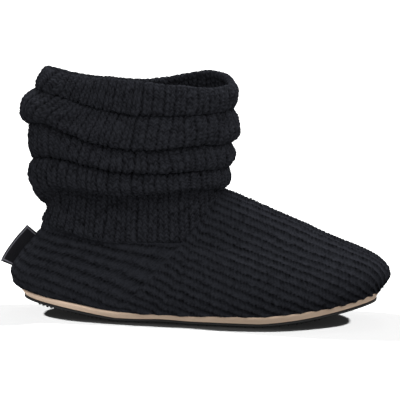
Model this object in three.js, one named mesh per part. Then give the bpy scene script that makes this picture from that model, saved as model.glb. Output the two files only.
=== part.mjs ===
// A knitted bootie slipper for the right foot, standing empty on its sole.
// Millimetres, +X to the toe, +Y to the inner side of the foot, +Z up, floor at Z = 0.
// The pieces are the outsole, the midsole, the insole, the knitted foot upper, the slouched
// knitted shaft and the woven tab at the heel. Every ring of the upper and the shaft is the
// same closed curve, stretched to the back, front, width and heights that its table row gives.
import * as THREE from 'three';

// Driving sizes of the foot.
const slipperLength = 260; // heel bulge to toe bulge of the upper
const ballWidth = 97; // upper across the ball
const vampHeight = 82.5; // seat of the foot to the throat, where the shaft stands on the vamp
const knitWall = 3; // one layer of chunky knit with its lining
const seamGap = 0.3; // clearance between pieces that are stitched together
const glueGap = 0.45; // clearance over the midsole, where both faces curve

// Driving sizes of the sole.
const outsoleThickness = 3;
const midsoleThickness = 4.8; // at the heel
const foreThickening = 1.6; // how much thicker the midsole is at the toe
const insoleThickness = 4;
const soleEndInset = 5; // midsole's upper edge inside the upper's bulge, at heel and toe
const soleSideInset = 3.5; // the same at the sides, at the ball
const soleTaper = 2.5; // how far the midsole's side leans in towards the floor
const outsoleInset = 3; // outsole's edge inside the midsole's upper edge
const soleEdge = 1; // rounding of the outsole's lower edge
const toeSpring = 14;
const heelSpring = 10.5;
const archRise = 0.6;

// Driving sizes of the shaft.
const shaftHeight = 82; // throat to the highest point of the rim
const shaftDepth = 134; // back to front at the creases
const shaftWidth = 79; // side to side at the creases
const hemWall = 5; // the rim is turned in, two layers thick
const foldDepth = 10; // how far the fullest fold stands out
const foldDroop = 4; // how far a fold sags over the crease under it

// Driving sizes of the heel tab, a short loop of folded ribbon.
const tabLength = 29;
const tabReach = 9.3;
const tabThickness = 1.4;
const tabHeight = 24; // seat of the foot to the tab's lower end

const knitSteps = 48; // points round each ring of the upper and the shaft
const soleSteps = 96;
const endFullness = 0.8; // under 1 makes both ends of a ring blunter than an ellipse

// Half width along the footprint as a share of half the ball width, before the ends round off.
// at is the place from the heel (0) to the toe (1).
const footprint = [
  { at: 0, outer: 1.03, inner: 1.02 },
  { at: 0.15, outer: 0.9, inner: 0.89 },
  { at: 0.38, outer: 0.87, inner: 0.63 },
  { at: 0.6, outer: 0.97, inner: 0.87 },
  { at: 0.8, outer: 1.12, inner: 1.13 },
  { at: 0.92, outer: 1.05, inner: 1.18 },
  { at: 1, outer: 0.92, inner: 1.12 },
];

// The upper, feather edge first and ankle seam last. side, toe and heel are heights above the
// seat as shares of the vamp height, back and front are shares of half the slipper length, wide
// is a share of half the ball width, print is how much of the footprint's shape the ring keeps,
// and spring is how much of the sole's toe and heel spring it keeps.
const upperRows = [
  { side: 0, toe: 0, heel: 0, back: 0.937, front: 0.94, wide: 0.9, print: 1, spring: 1 },
  { side: 0.02, toe: 0.028, heel: 0.018, back: 0.985, front: 0.982, wide: 0.958, print: 1, spring: 1 },
  { side: 0.068, toe: 0.1, heel: 0.085, back: 1.01, front: 1.006, wide: 0.993, print: 1, spring: 0.95 },
  { side: 0.128, toe: 0.182, heel: 0.162, back: 1.014, front: 1.006, wide: 1.003, print: 0.98, spring: 0.85 },
  { side: 0.195, toe: 0.263, heel: 0.24, back: 0.998, front: 0.983, wide: 0.992, print: 0.94, spring: 0.72 },
  { side: 0.261, toe: 0.342, heel: 0.325, back: 0.97, front: 0.941, wide: 0.963, print: 0.88, spring: 0.58 },
  { side: 0.327, toe: 0.424, heel: 0.412, back: 0.937, front: 0.87, wide: 0.92, print: 0.8, spring: 0.44 },
  { side: 0.387, toe: 0.505, heel: 0.482, back: 0.907, front: 0.783, wide: 0.872, print: 0.7, spring: 0.31 },
  { side: 0.441, toe: 0.597, heel: 0.543, back: 0.882, front: 0.671, wide: 0.828, print: 0.58, spring: 0.2 },
  { side: 0.489, toe: 0.705, heel: 0.598, back: 0.863, front: 0.543, wide: 0.784, print: 0.45, spring: 0.1 },
  { side: 0.531, toe: 0.812, heel: 0.638, back: 0.853, front: 0.403, wide: 0.745, print: 0.3, spring: 0.04 },
  { side: 0.561, toe: 0.914, heel: 0.663, back: 0.85, front: 0.261, wide: 0.716, print: 0.15, spring: 0 },
  { side: 0.579, toe: 1, heel: 0.682, back: 0.85, front: 0.126, wide: 0.704, print: 0, spring: 0 },
];

// The creases of the shaft from the ankle up to the rim. The first eight columns are heights above
// the throat, all round the ring, as shares of the shaft height; rear and fore are the ring's
// ends behind and before the throat as shares of the shaft depth; wide is a share of half the
// shaft width.
const creases = [
  {
    front: 0.012, innerFore: 0.022, inner: -0.009, innerBack: -0.015,
    back: -0.152, outerBack: 0.012, outer: 0.013, outerFore: 0.045,
    rear: 0.941, fore: 0, wide: 0.93,
  },
  {
    front: 0.195, innerFore: 0.205, inner: 0.18, innerBack: 0.229,
    back: 0.215, outerBack: 0.275, outer: 0.22, outerFore: 0.206,
    rear: 0.99, fore: 0.002, wide: 0.985,
  },
  {
    front: 0.416, innerFore: 0.437, inner: 0.376, innerBack: 0.485,
    back: 0.513, outerBack: 0.55, outer: 0.416, outerFore: 0.422,
    rear: 1.002, fore: 0.01, wide: 1,
  },
  {
    front: 0.682, innerFore: 0.68, inner: 0.607, innerBack: 0.741,
    back: 0.815, outerBack: 0.795, outer: 0.689, outerFore: 0.671,
    rear: 0.972, fore: 0.032, wide: 1.01,
  },
  {
    front: 0.87, innerFore: 0.938, inner: 0.835, innerBack: 0.89,
    back: 0.985, outerBack: 0.958, outer: 0.92, outerFore: 0.868,
    rear: 0.94, fore: 0.048, wide: 1.01,
  },
];

// The folds between those creases: how far each stands out at the back, outer side, front and
// inner side as shares of the fold depth, how much of the droop it takes at the back and at the
// front, and how low its fullest part lies (1 is half way up, less is lower).
const folds = [
  { back: 0.54, outer: 0.52, front: 0.26, inner: 0.46, rearDroop: 0, foreDroop: 0.2, low: 0.95 },
  { back: 0.2, outer: 0.56, front: 0.57, inner: 0.5, rearDroop: 0, foreDroop: 0.5, low: 0.9 },
  { back: 0.96, outer: 0.62, front: 0.57, inner: 0.66, rearDroop: 0, foreDroop: 0.9, low: 0.85 },
  { back: 0.12, outer: 0.24, front: 0.2, inner: 0.26, rearDroop: 0, foreDroop: 0.1, low: 0.9 },
];
const foldSteps = [0.07, 0.22, 0.42, 0.64, 0.85, 1];
const foldRoundness = 0.65; // under 1 makes the folds fuller than a sine wave
const ankleSteps = [0.3, 0.65, 1];
const rimSteps = 4; // facets over the rounded rim

const seatHeight = outsoleThickness + midsoleThickness;
const halfLength = slipperLength / 2;
const halfBall = ballWidth / 2;
const soleHalfLength = halfLength - soleEndInset;
const soleHalfWidth = halfBall - soleSideInset;

const mix = (a, b, t) => a + (b - a) * t;
const clamp01 = (t) => Math.min(1, Math.max(0, t));

// A smooth curve through one column of a table, by Catmull and Rom's rule, at the given place.
function tableValue(rows, column, place) {
  let i = 0;
  while (i < rows.length - 2 && place > rows[i + 1].at) i += 1;
  const [a, b] = [rows[i], rows[i + 1]];
  const before = rows[Math.max(0, i - 1)];
  const after = rows[Math.min(rows.length - 1, i + 2)];
  const span = b.at - a.at;
  const t = clamp01((place - a.at) / span);
  const slopeA = ((b[column] - before[column]) / (b.at - before.at || span)) * span;
  const slopeB = ((after[column] - a[column]) / (after.at - a.at || span)) * span;
  return (
    (2 * t ** 3 - 3 * t ** 2 + 1) * a[column] +
    (t ** 3 - 2 * t ** 2 + t) * slopeA +
    (3 * t ** 2 - 2 * t ** 3) * b[column] +
    (t ** 3 - t ** 2) * slopeB
  );
}

// A ring's unit circle: along runs from -1 at the back to 1 at the front, and across is
// positive on the inner side.
function unitRing(steps) {
  return Array.from({ length: steps }, (_, i) => {
    const turn = i / steps;
    const sine = Math.sin(2 * Math.PI * turn);
    const across = Math.abs(sine) < 1e-9 ? 0 : Math.sign(sine) * Math.abs(sine) ** endFullness;
    return { turn, along: Math.cos(2 * Math.PI * turn), across, side: sine >= 0 ? 'inner' : 'outer' };
  });
}
const knitRing = unitRing(knitSteps);

// The share of a rise that is reached at a place, for one that starts at start and ends at 1. A
// curl over 1 makes it start softly.
const rise = (place, start, curl) => clamp01((place - start) / (1 - start)) ** curl;

// How far the sole has lifted off the floor at a share of half its length, toe positive. The
// heel and the forefoot are flat between the springs and the arch.
const toeSpringStart = 0.35;
const heelSpringStart = 0.45;
const toeCurl = 1.4;
const heelCurl = 1.1;
const archCentre = -0.18;
const archReach = 0.18;
function soleLift(along) {
  const toe = rise(along, toeSpringStart, toeCurl);
  const heel = rise(-along, heelSpringStart, heelCurl);
  const arch = Math.cos((Math.PI / 2) * Math.min(1, Math.abs(along - archCentre) / archReach)) ** 2;
  return toeSpring * toe + heelSpring * heel + archRise * arch;
}

// How far the midsole's upper face has risen over its height at the heel, springs included.
const seatLift = (along) => soleLift(along) + (foreThickening * (1 + along)) / 2;

// The share of its rise to the front and back end that a ring has reached. The feather edge
// rises only near its ends, as the sole does, and the ankle seam rises steeply to the throat.
const seamFrontStart = 0.58;
const seamBackStart = 0.2;
const featherCurl = 1.8;
const seamFrontCurl = 1.15;
const seamBackCurl = 1.3;
function endRise(along, level) {
  return {
    front: rise(along, mix(toeSpringStart, seamFrontStart, level), mix(featherCurl, seamFrontCurl, level)),
    back: rise(-along, mix(heelSpringStart, seamBackStart, level), seamBackCurl),
  };
}

// One ring of the upper.
function upperRing(row) {
  const level = row.side / upperRows[upperRows.length - 1].side;
  return knitRing.map(({ along, across, side }) => {
    const place = (1 + along) / 2;
    const ends = endRise(along, level);
    const height = row.side + (row.toe - row.side) * ends.front + (row.heel - row.side) * ends.back;
    return new THREE.Vector3(
      halfLength * mix(-row.back, row.front, place),
      halfBall * row.wide * across * mix(1, tableValue(footprint, side, place), row.print),
      seatHeight + glueGap + vampHeight * height + row.spring * seatLift(along),
    );
  });
}

// The height of a crease at a place round its ring: a smooth closed curve through its columns.
const places = ['front', 'innerFore', 'inner', 'innerBack', 'back', 'outerBack', 'outer', 'outerFore'];
function creaseHeight(crease, turn) {
  const rows = places.map((place, i) => ({ at: i, height: crease[place] }));
  const count = places.length;
  const [last, first, second] = [rows[count - 1], rows[0], rows[1]];
  const closed = [{ ...last, at: -1 }, ...rows, { ...first, at: count }, { ...second, at: count + 1 }];
  return throatZ + shaftHeight * tableValue(closed, 'height', turn * count);
}

// One ring of the shaft: its heights round the ring, ends and half widths, all in millimetres.
function shaftRing(heights, { rear, fore, outerWide, innerWide }) {
  return knitRing.map(({ along, across, side }, i) => {
    const wide = side === 'inner' ? innerWide : outerWide;
    return new THREE.Vector3(mix(rear, fore, (1 + along) / 2), wide * across, heights[i]);
  });
}

// A crease's ring in millimetres. The shaft is set on the throat of the upper.
const throat = upperRows[upperRows.length - 1];
const throatX = halfLength * throat.front;
const throatZ = seatHeight + glueGap + vampHeight * throat.toe;
function creaseSize(crease) {
  return {
    heights: knitRing.map(({ turn }) => creaseHeight(crease, turn)),
    rear: throatX - shaftDepth * crease.rear,
    fore: throatX + shaftDepth * crease.fore,
    wide: (shaftWidth / 2) * crease.wide,
  };
}

// The rings of one fold, from just over its lower crease to its upper crease.
function foldRings(fold, lower, upper) {
  return foldSteps.map((step) => {
    const full = Math.max(0, Math.sin(Math.PI * step ** fold.low)) ** foldRoundness;
    const out = foldDepth * full;
    const wide = mix(lower.wide, upper.wide, step);
    const heights = knitRing.map(({ along }, i) => {
      const droop = foldDroop * full * mix(fold.rearDroop, fold.foreDroop, (1 + along) / 2);
      return mix(lower.heights[i], upper.heights[i], step) - droop;
    });
    return shaftRing(heights, {
      rear: mix(lower.rear, upper.rear, step) - out * fold.back,
      fore: mix(lower.fore, upper.fore, step) + out * fold.front,
      outerWide: wide + out * fold.outer,
      innerWide: wide + out * fold.inner,
    });
  });
}

// Direction of a stack of rings at one point: up the stack.
function upward(rings, i, j) {
  const high = rings[Math.min(rings.length - 1, i + 1)][j];
  const low = rings[Math.max(0, i - 1)][j];
  return high.clone().sub(low).normalize();
}

// Direction that points out of a stack of rings at one point.
function outward(rings, i, j) {
  const ring = rings[i];
  const around = ring[(j + 1) % ring.length].clone().sub(ring[(j + ring.length - 1) % ring.length]);
  return around.cross(upward(rings, i, j)).normalize();
}

// The inner face of a wall: each ring moved in by its own thickness. Where flatBase is set, the
// lowest ring moves in level, so that the wall stands flat on what is under it.
function innerRings(rings, thickness, flatBase = false) {
  return rings.map((ring, i) =>
    ring.map((point, j) => {
      const out = outward(rings, i, j);
      if (flatBase && i === 0) out.setZ(0).normalize();
      return point.clone().addScaledVector(out, -thickness(i));
    }),
  );
}

// The rings that carry a wall over its rounded rim, from the outer face to the inner one.
function rimRings(outer, inner) {
  const last = outer.length - 1;
  return Array.from({ length: rimSteps - 1 }, (_, k) => {
    const turn = (Math.PI * (k + 1)) / rimSteps;
    return outer[last].map((point, j) => {
      const centre = point.clone().add(inner[last][j]).multiplyScalar(0.5);
      const half = point.clone().sub(inner[last][j]).multiplyScalar(0.5);
      const over = upward(outer, last, j).multiplyScalar(half.length() * Math.sin(turn));
      return centre.addScaledVector(half, Math.cos(turn)).add(over);
    });
  });
}

// Triangles between rings, each joined to the next, with every four corners split along their
// shorter diagonal. A hollow wall closes on itself, and a plate gets a face under its first
// ring and one over its last, in strips from side to side.
function skin(rings, hollow) {
  const count = rings[0].length;
  const points = rings.flat();
  const faces = [];
  const quad = (a, b, c, d) => {
    const split = points[a].distanceToSquared(points[c]) <= points[b].distanceToSquared(points[d]);
    faces.push(...(split ? [a, b, c, a, c, d] : [a, b, d, b, c, d]));
  };
  const bands = hollow ? rings.length : rings.length - 1;
  for (let i = 0; i < bands; i += 1) {
    const low = i * count;
    const high = ((i + 1) % rings.length) * count;
    for (let j = 0; j < count; j += 1) {
      const next = (j + 1) % count;
      quad(low + j, low + next, high + next, high + j);
    }
  }
  if (!hollow) {
    const top = (rings.length - 1) * count;
    for (let j = 0; j < count / 2; j += 1) {
      const [a, b] = [j, j + 1];
      const [c, d] = [(count - j - 1) % count, (count - j) % count];
      if (a !== d) faces.push(a, d, b, top + a, top + b, top + d);
      if (b !== c) faces.push(b, d, c, top + b, top + c, top + d);
    }
  }
  const geometry = new THREE.BufferGeometry();
  const positions = points.flatMap((p) => [p.x, p.y, p.z]);
  geometry.setAttribute('position', new THREE.Float32BufferAttribute(positions, 3));
  geometry.setIndex(faces);
  geometry.computeVertexNormals();
  return geometry;
}

// A ring of a sole piece at a height over the floor before the springs lift it.
function soleRing(halfLong, halfWide, height, lift = soleLift) {
  return unitRing(soleSteps).map(({ along, across, side }) => {
    const place = (1 + along) / 2;
    return new THREE.Vector3(
      halfLong * along,
      halfWide * across * tableValue(footprint, side, place),
      height + lift(along),
    );
  });
}

function outsole() {
  const [long, wide] = [soleHalfLength - outsoleInset, soleHalfWidth - outsoleInset];
  return skin([
    soleRing(long - soleEdge, wide - soleEdge, 0),
    soleRing(long, wide, soleEdge),
    soleRing(long, wide, outsoleThickness - seamGap),
  ]);
}

function midsole() {
  const [long, wide] = [soleHalfLength, soleHalfWidth];
  const edge = midsoleThickness / 5;
  return skin([
    soleRing(long - soleTaper - edge / 2, wide - soleTaper - edge / 2, outsoleThickness),
    soleRing(long - soleTaper, wide - soleTaper, outsoleThickness + edge),
    soleRing(long, wide, seatHeight - edge, seatLift),
    soleRing(long - edge / 2, wide - edge / 2, seatHeight, seatLift),
  ]);
}

const upperOuter = upperRows.map(upperRing);
const upperInner = innerRings(upperOuter, () => knitWall, true);
const upper = () => skin([...upperOuter, ...upperInner.toReversed()], true);

// The insole lies inside the upper's feather edge, on the midsole.
function insole() {
  const under = innerRings(upperOuter.slice(0, 2), () => knitWall + seamGap, true)[0];
  const over = under.map((p) => p.clone().setZ(p.z + insoleThickness));
  return skin([under, over]);
}

// The shaft starts a seam's gap past the upper's last ring and ends in the rounded hem.
const topRing = upperOuter.length - 1;
const seamStep = new THREE.Vector3(-0.8, 0, 1.2).multiplyScalar(seamGap);
const pastSeam = (ring) => ring.map((point) => point.clone().add(seamStep));

function shaftOuter() {
  const seam = pastSeam(upperOuter[topRing]);
  const sizes = creases.map(creaseSize);
  const { heights, wide, ...ends } = sizes[0];
  const ankle = shaftRing(heights, { ...ends, outerWide: wide, innerWide: wide });
  const rings = [seam];
  for (const step of ankleSteps) rings.push(seam.map((p, j) => p.clone().lerp(ankle[j], step)));
  folds.forEach((fold, k) => rings.push(...foldRings(fold, sizes[k], sizes[k + 1])));
  return rings;
}

function shaft() {
  const outer = shaftOuter();
  const hemStart = outer.length - foldSteps.length;
  const wall = (i) => mix(knitWall, hemWall, clamp01((i - hemStart) / (foldSteps.length - 1)));
  const inner = innerRings(outer, wall);
  inner[0] = pastSeam(upperInner[topRing]);
  return skin([...outer, ...rimRings(outer, inner), ...inner.toReversed()], true);
}

// The heel tab stands out from the back seam in the plane of the shoe's middle, and its inner
// edge follows the heel.
const heelSamples = 120;
const tabSteps = 8;
function heelTab() {
  const spine = new THREE.CatmullRomCurve3(upperOuter.map((ring) => ring[knitSteps / 2]));
  const heelLine = spine.getSpacedPoints(heelSamples);
  const start = heelLine.findIndex((point) => point.z >= seatHeight + tabHeight);
  const step = spine.getLength() / heelSamples;
  const half = tabThickness / 2;
  return skin(
    Array.from({ length: tabSteps + 1 }, (_, i) => {
      const at = start + Math.round((i * tabLength) / tabSteps / step);
      const along = heelLine[at + 1].clone().sub(heelLine[at - 1]).normalize();
      const out = new THREE.Vector3(-along.z, 0, along.x);
      const near = heelLine[at].clone().addScaledVector(out, seamGap);
      const far = heelLine[at].clone().addScaledVector(out, tabReach);
      return [
        new THREE.Vector3(near.x, -half, near.z),
        new THREE.Vector3(near.x, half, near.z),
        new THREE.Vector3(far.x, half, far.z),
        new THREE.Vector3(far.x, -half, far.z),
      ];
    }),
  );
}

const blackKnit = { color: 0x1c1d21, roughness: 0.95, metalness: 0 };
const finishes = {
  outsole: { color: 0x1a1a1c, roughness: 0.7, metalness: 0 },
  midsole: { color: 0xb59a80, roughness: 0.8, metalness: 0 },
  insole: { color: 0x232428, roughness: 0.95, metalness: 0 },
  upper: blackKnit,
  shaft: blackKnit,
  heel_tab: { color: 0x141416, roughness: 0.5, metalness: 0 },
};
const shapes = { outsole, midsole, insole, upper, shaft, heel_tab: heelTab };

const slipper = new THREE.Group();
for (const [name, shape] of Object.entries(shapes)) {
  const mesh = new THREE.Mesh(shape(), new THREE.MeshStandardMaterial(finishes[name]));
  mesh.name = name;
  slipper.add(mesh);
}

// The origin is on the floor under the middle of the whole slipper.
const bounds = new THREE.Box3().setFromObject(slipper);
const middle = bounds.getCenter(new THREE.Vector3());
slipper.position.set(-middle.x, -middle.y, -bounds.min.z);
slipper.updateMatrixWorld(true);

export default slipper;
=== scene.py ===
"""A knitted bootie slipper: a black rib-knit foot and slouched shaft on a beige foam sole.

The form is worked out in millimetres in the shoe's own sizes and written in metres. +X is the
toe, +Y the inner side of the foot, +Z is up, and the floor is at Z = 0.
"""

import logging
import math
from dataclasses import dataclass, field, replace
from enum import Enum

import bpy
import numpy as np
from mathutils import Matrix, Vector

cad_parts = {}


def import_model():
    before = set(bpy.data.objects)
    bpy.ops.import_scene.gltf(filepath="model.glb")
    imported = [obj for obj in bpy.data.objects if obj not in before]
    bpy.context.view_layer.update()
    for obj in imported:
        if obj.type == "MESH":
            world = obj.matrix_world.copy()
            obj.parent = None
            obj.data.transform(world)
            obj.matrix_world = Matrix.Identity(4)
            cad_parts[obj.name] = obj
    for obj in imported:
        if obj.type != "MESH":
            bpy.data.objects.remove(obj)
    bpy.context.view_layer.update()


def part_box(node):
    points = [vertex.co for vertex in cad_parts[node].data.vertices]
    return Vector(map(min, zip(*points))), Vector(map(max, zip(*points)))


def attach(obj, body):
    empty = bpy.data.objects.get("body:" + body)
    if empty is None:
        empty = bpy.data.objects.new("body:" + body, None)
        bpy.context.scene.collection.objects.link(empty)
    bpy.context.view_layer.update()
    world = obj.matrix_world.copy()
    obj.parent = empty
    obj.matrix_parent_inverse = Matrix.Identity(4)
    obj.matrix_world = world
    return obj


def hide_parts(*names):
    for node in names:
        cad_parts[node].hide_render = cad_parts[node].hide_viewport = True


log = logging.getLogger("slipper")
Array = np.ndarray
MM = 0.001
# Every seam of the knit sinks by this depth, over this width on each side, in millimetres.
SEAM_DEPTH = 0.25
SEAM_WIDTH = 1.8
# The ribs keep this share of their height at a seam, and the foot's knit lies this deep on the last.
SEAM_RELIEF = 0.55
KNIT_SINK = 0.9
# How far a stitch's legs lean along the rib from its middle to its edge, in stitches.
LEG_LEAN = 0.6
# Points closer than this are one, in metres.
MERGED = 0.00001
# One row of the upper for each ring, from the feather edge to the ankle seam.
UPPER_ROWS: dict[str, tuple[float, ...]] = {
    "side": (0, 0.02, 0.068, 0.128, 0.195, 0.261, 0.327, 0.387, 0.441, 0.489, 0.531, 0.561, 0.579),
    "toe": (0, 0.028, 0.1, 0.182, 0.263, 0.342, 0.424, 0.505, 0.597, 0.705, 0.812, 0.914, 1),
    "heel": (0, 0.018, 0.085, 0.162, 0.24, 0.325, 0.412, 0.482, 0.543, 0.598, 0.638, 0.663, 0.682),
    "back": (0.937, 0.985, 1.01, 1.014, 0.998, 0.97, 0.937, 0.907, 0.882, 0.863, 0.853, 0.85, 0.85),
    "front": (0.94, 0.982, 1.006, 1.006, 0.983, 0.941, 0.87, 0.783, 0.671, 0.543, 0.403, 0.261, 0.126),
    "wide": (0.9, 0.958, 0.993, 1.003, 0.992, 0.963, 0.92, 0.872, 0.828, 0.784, 0.745, 0.716, 0.704),
    "print": (1, 1, 1, 0.98, 0.94, 0.88, 0.8, 0.7, 0.58, 0.45, 0.3, 0.15, 0),
    "spring": (1, 1, 0.95, 0.85, 0.72, 0.58, 0.44, 0.31, 0.2, 0.1, 0.04, 0, 0),
}


def linear(hexcode: str) -> tuple[float, float, float, float]:
    """Turn an sRGB hex colour into linear RGBA.

    Args:
        hexcode: six hex digits, such as "b59a80".

    Returns:
        The colour with alpha 1.
    """
    channels = [int(hexcode[i : i + 2], 16) / 255 for i in (0, 2, 4)]
    return (*[c / 12.92 if c <= 0.04045 else ((c + 0.055) / 1.055) ** 2.4 for c in channels], 1.0)


def mix(a: Array | float, b: Array | float, share: Array | float) -> Array | float:
    """Blend from a to b by a share from 0 to 1."""
    return a + (b - a) * share


def ease(value: Array | float, low: float, high: float) -> Array | float:
    """Rise smoothly from 0 at low to 1 at high."""
    share = np.clip((value - low) / (high - low), 0.0, 1.0)
    return share * share * (3 - 2 * share)


def rise(value: Array, start: Array | float) -> Array:
    """Rise evenly from 0 at start to 1 at 1."""
    return np.clip((value - start) / (1 - start), 0, 1)


def smooth_column(at: Array, values: Array, place: Array) -> Array:
    """Read one column of a table along a Catmull-Rom curve.

    Args:
        at: the rows' places, rising.
        values: the column, one number a row.
        place: where to read it.

    Returns:
        The column's value at each place.
    """
    at, values = np.asarray(at, float), np.asarray(values, float)
    slopes = np.gradient(values, at)
    slopes[1:-1] = (values[2:] - values[:-2]) / (at[2:] - at[:-2])
    row = np.clip(np.searchsorted(at, place, side="right") - 1, 0, len(at) - 2)
    span = at[row + 1] - at[row]
    t = np.clip((place - at[row]) / span, 0, 1)
    return (
        (2 * t**3 - 3 * t**2 + 1) * values[row]
        + (t**3 - 2 * t**2 + t) * slopes[row] * span
        + (3 * t**2 - 2 * t**3) * values[row + 1]
        + (t**3 - t**2) * slopes[row + 1] * span
    )


def at_row(column: tuple[float, ...], row: Array) -> Array:
    """Read one column of a table at whole rows."""
    return np.asarray(column, float)[row]


def unit(vectors: Array) -> Array:
    """Vectors of length 1 on the last axis, and zero where there is none."""
    return vectors / np.maximum(np.linalg.norm(vectors, axis=-1, keepdims=True), 1e-9)


def read_line(line: Array, run: Array, places: Array) -> Array:
    """Points of a line at given places, where run gives the place of each of its own points."""
    return np.stack([np.interp(places, run, line[:, axis]) for axis in range(3)], axis=-1)


def arc_lengths(points: Array, axis: int = 0) -> Array:
    """Running length along one axis of a sheet of points, starting at 0."""
    steps = np.linalg.norm(np.diff(points, axis=axis), axis=-1)
    start = np.zeros_like(np.take(steps, [0], axis=axis))
    return np.cumsum(np.concatenate([start, steps], axis=axis), axis=axis)


def lattice_noise(x: Array, y: Array, seed: int, period: int = 64) -> Array:
    """Smooth noise between -1 and 1, about one bump for each unit of x and y.

    Args:
        x: first coordinate.
        y: second coordinate, of the same shape.
        seed: picks the pattern.
        period: how many units of x it takes to repeat.

    Returns:
        The noise, of the shape of x.
    """
    grid = np.random.default_rng(seed).uniform(-1, 1, (period, 64))
    cell_x, cell_y = np.floor(x).astype(int), np.floor(y).astype(int)
    fx, fy = x - cell_x, y - cell_y
    fx, fy = fx * fx * (3 - 2 * fx), fy * fy * (3 - 2 * fy)

    def corner(i: int, j: int) -> Array:
        """The grid's value at one corner of each cell."""
        return grid[(cell_x + i) % period, (cell_y + j) % 64]

    return mix(mix(corner(0, 0), corner(1, 0), fx), mix(corner(0, 1), corner(1, 1), fx), fy)


class Side(Enum):
    """The two sides of the shoe: the outer one faces the camera."""

    OUTER = "outer"
    INNER = "inner"


@dataclass
class Footprint:
    """Half width of the sole's plan as a share of half the ball width, from heel (0) to toe (1)."""

    at: tuple[float, ...] = (0, 0.15, 0.38, 0.6, 0.8, 0.92, 1)
    outer: tuple[float, ...] = (1.03, 0.9, 0.87, 0.97, 1.12, 1.05, 0.92)
    inner: tuple[float, ...] = (1.02, 0.89, 0.63, 0.87, 1.13, 1.18, 1.12)

    def half_width(self, place: Array, sine: Array) -> Array:
        """Share of half the ball width at a place, for the side that sine's sign picks."""
        outer = smooth_column(self.at, self.outer, place)
        inner = smooth_column(self.at, self.inner, place)
        return np.where(sine >= 0, inner, outer)


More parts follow.
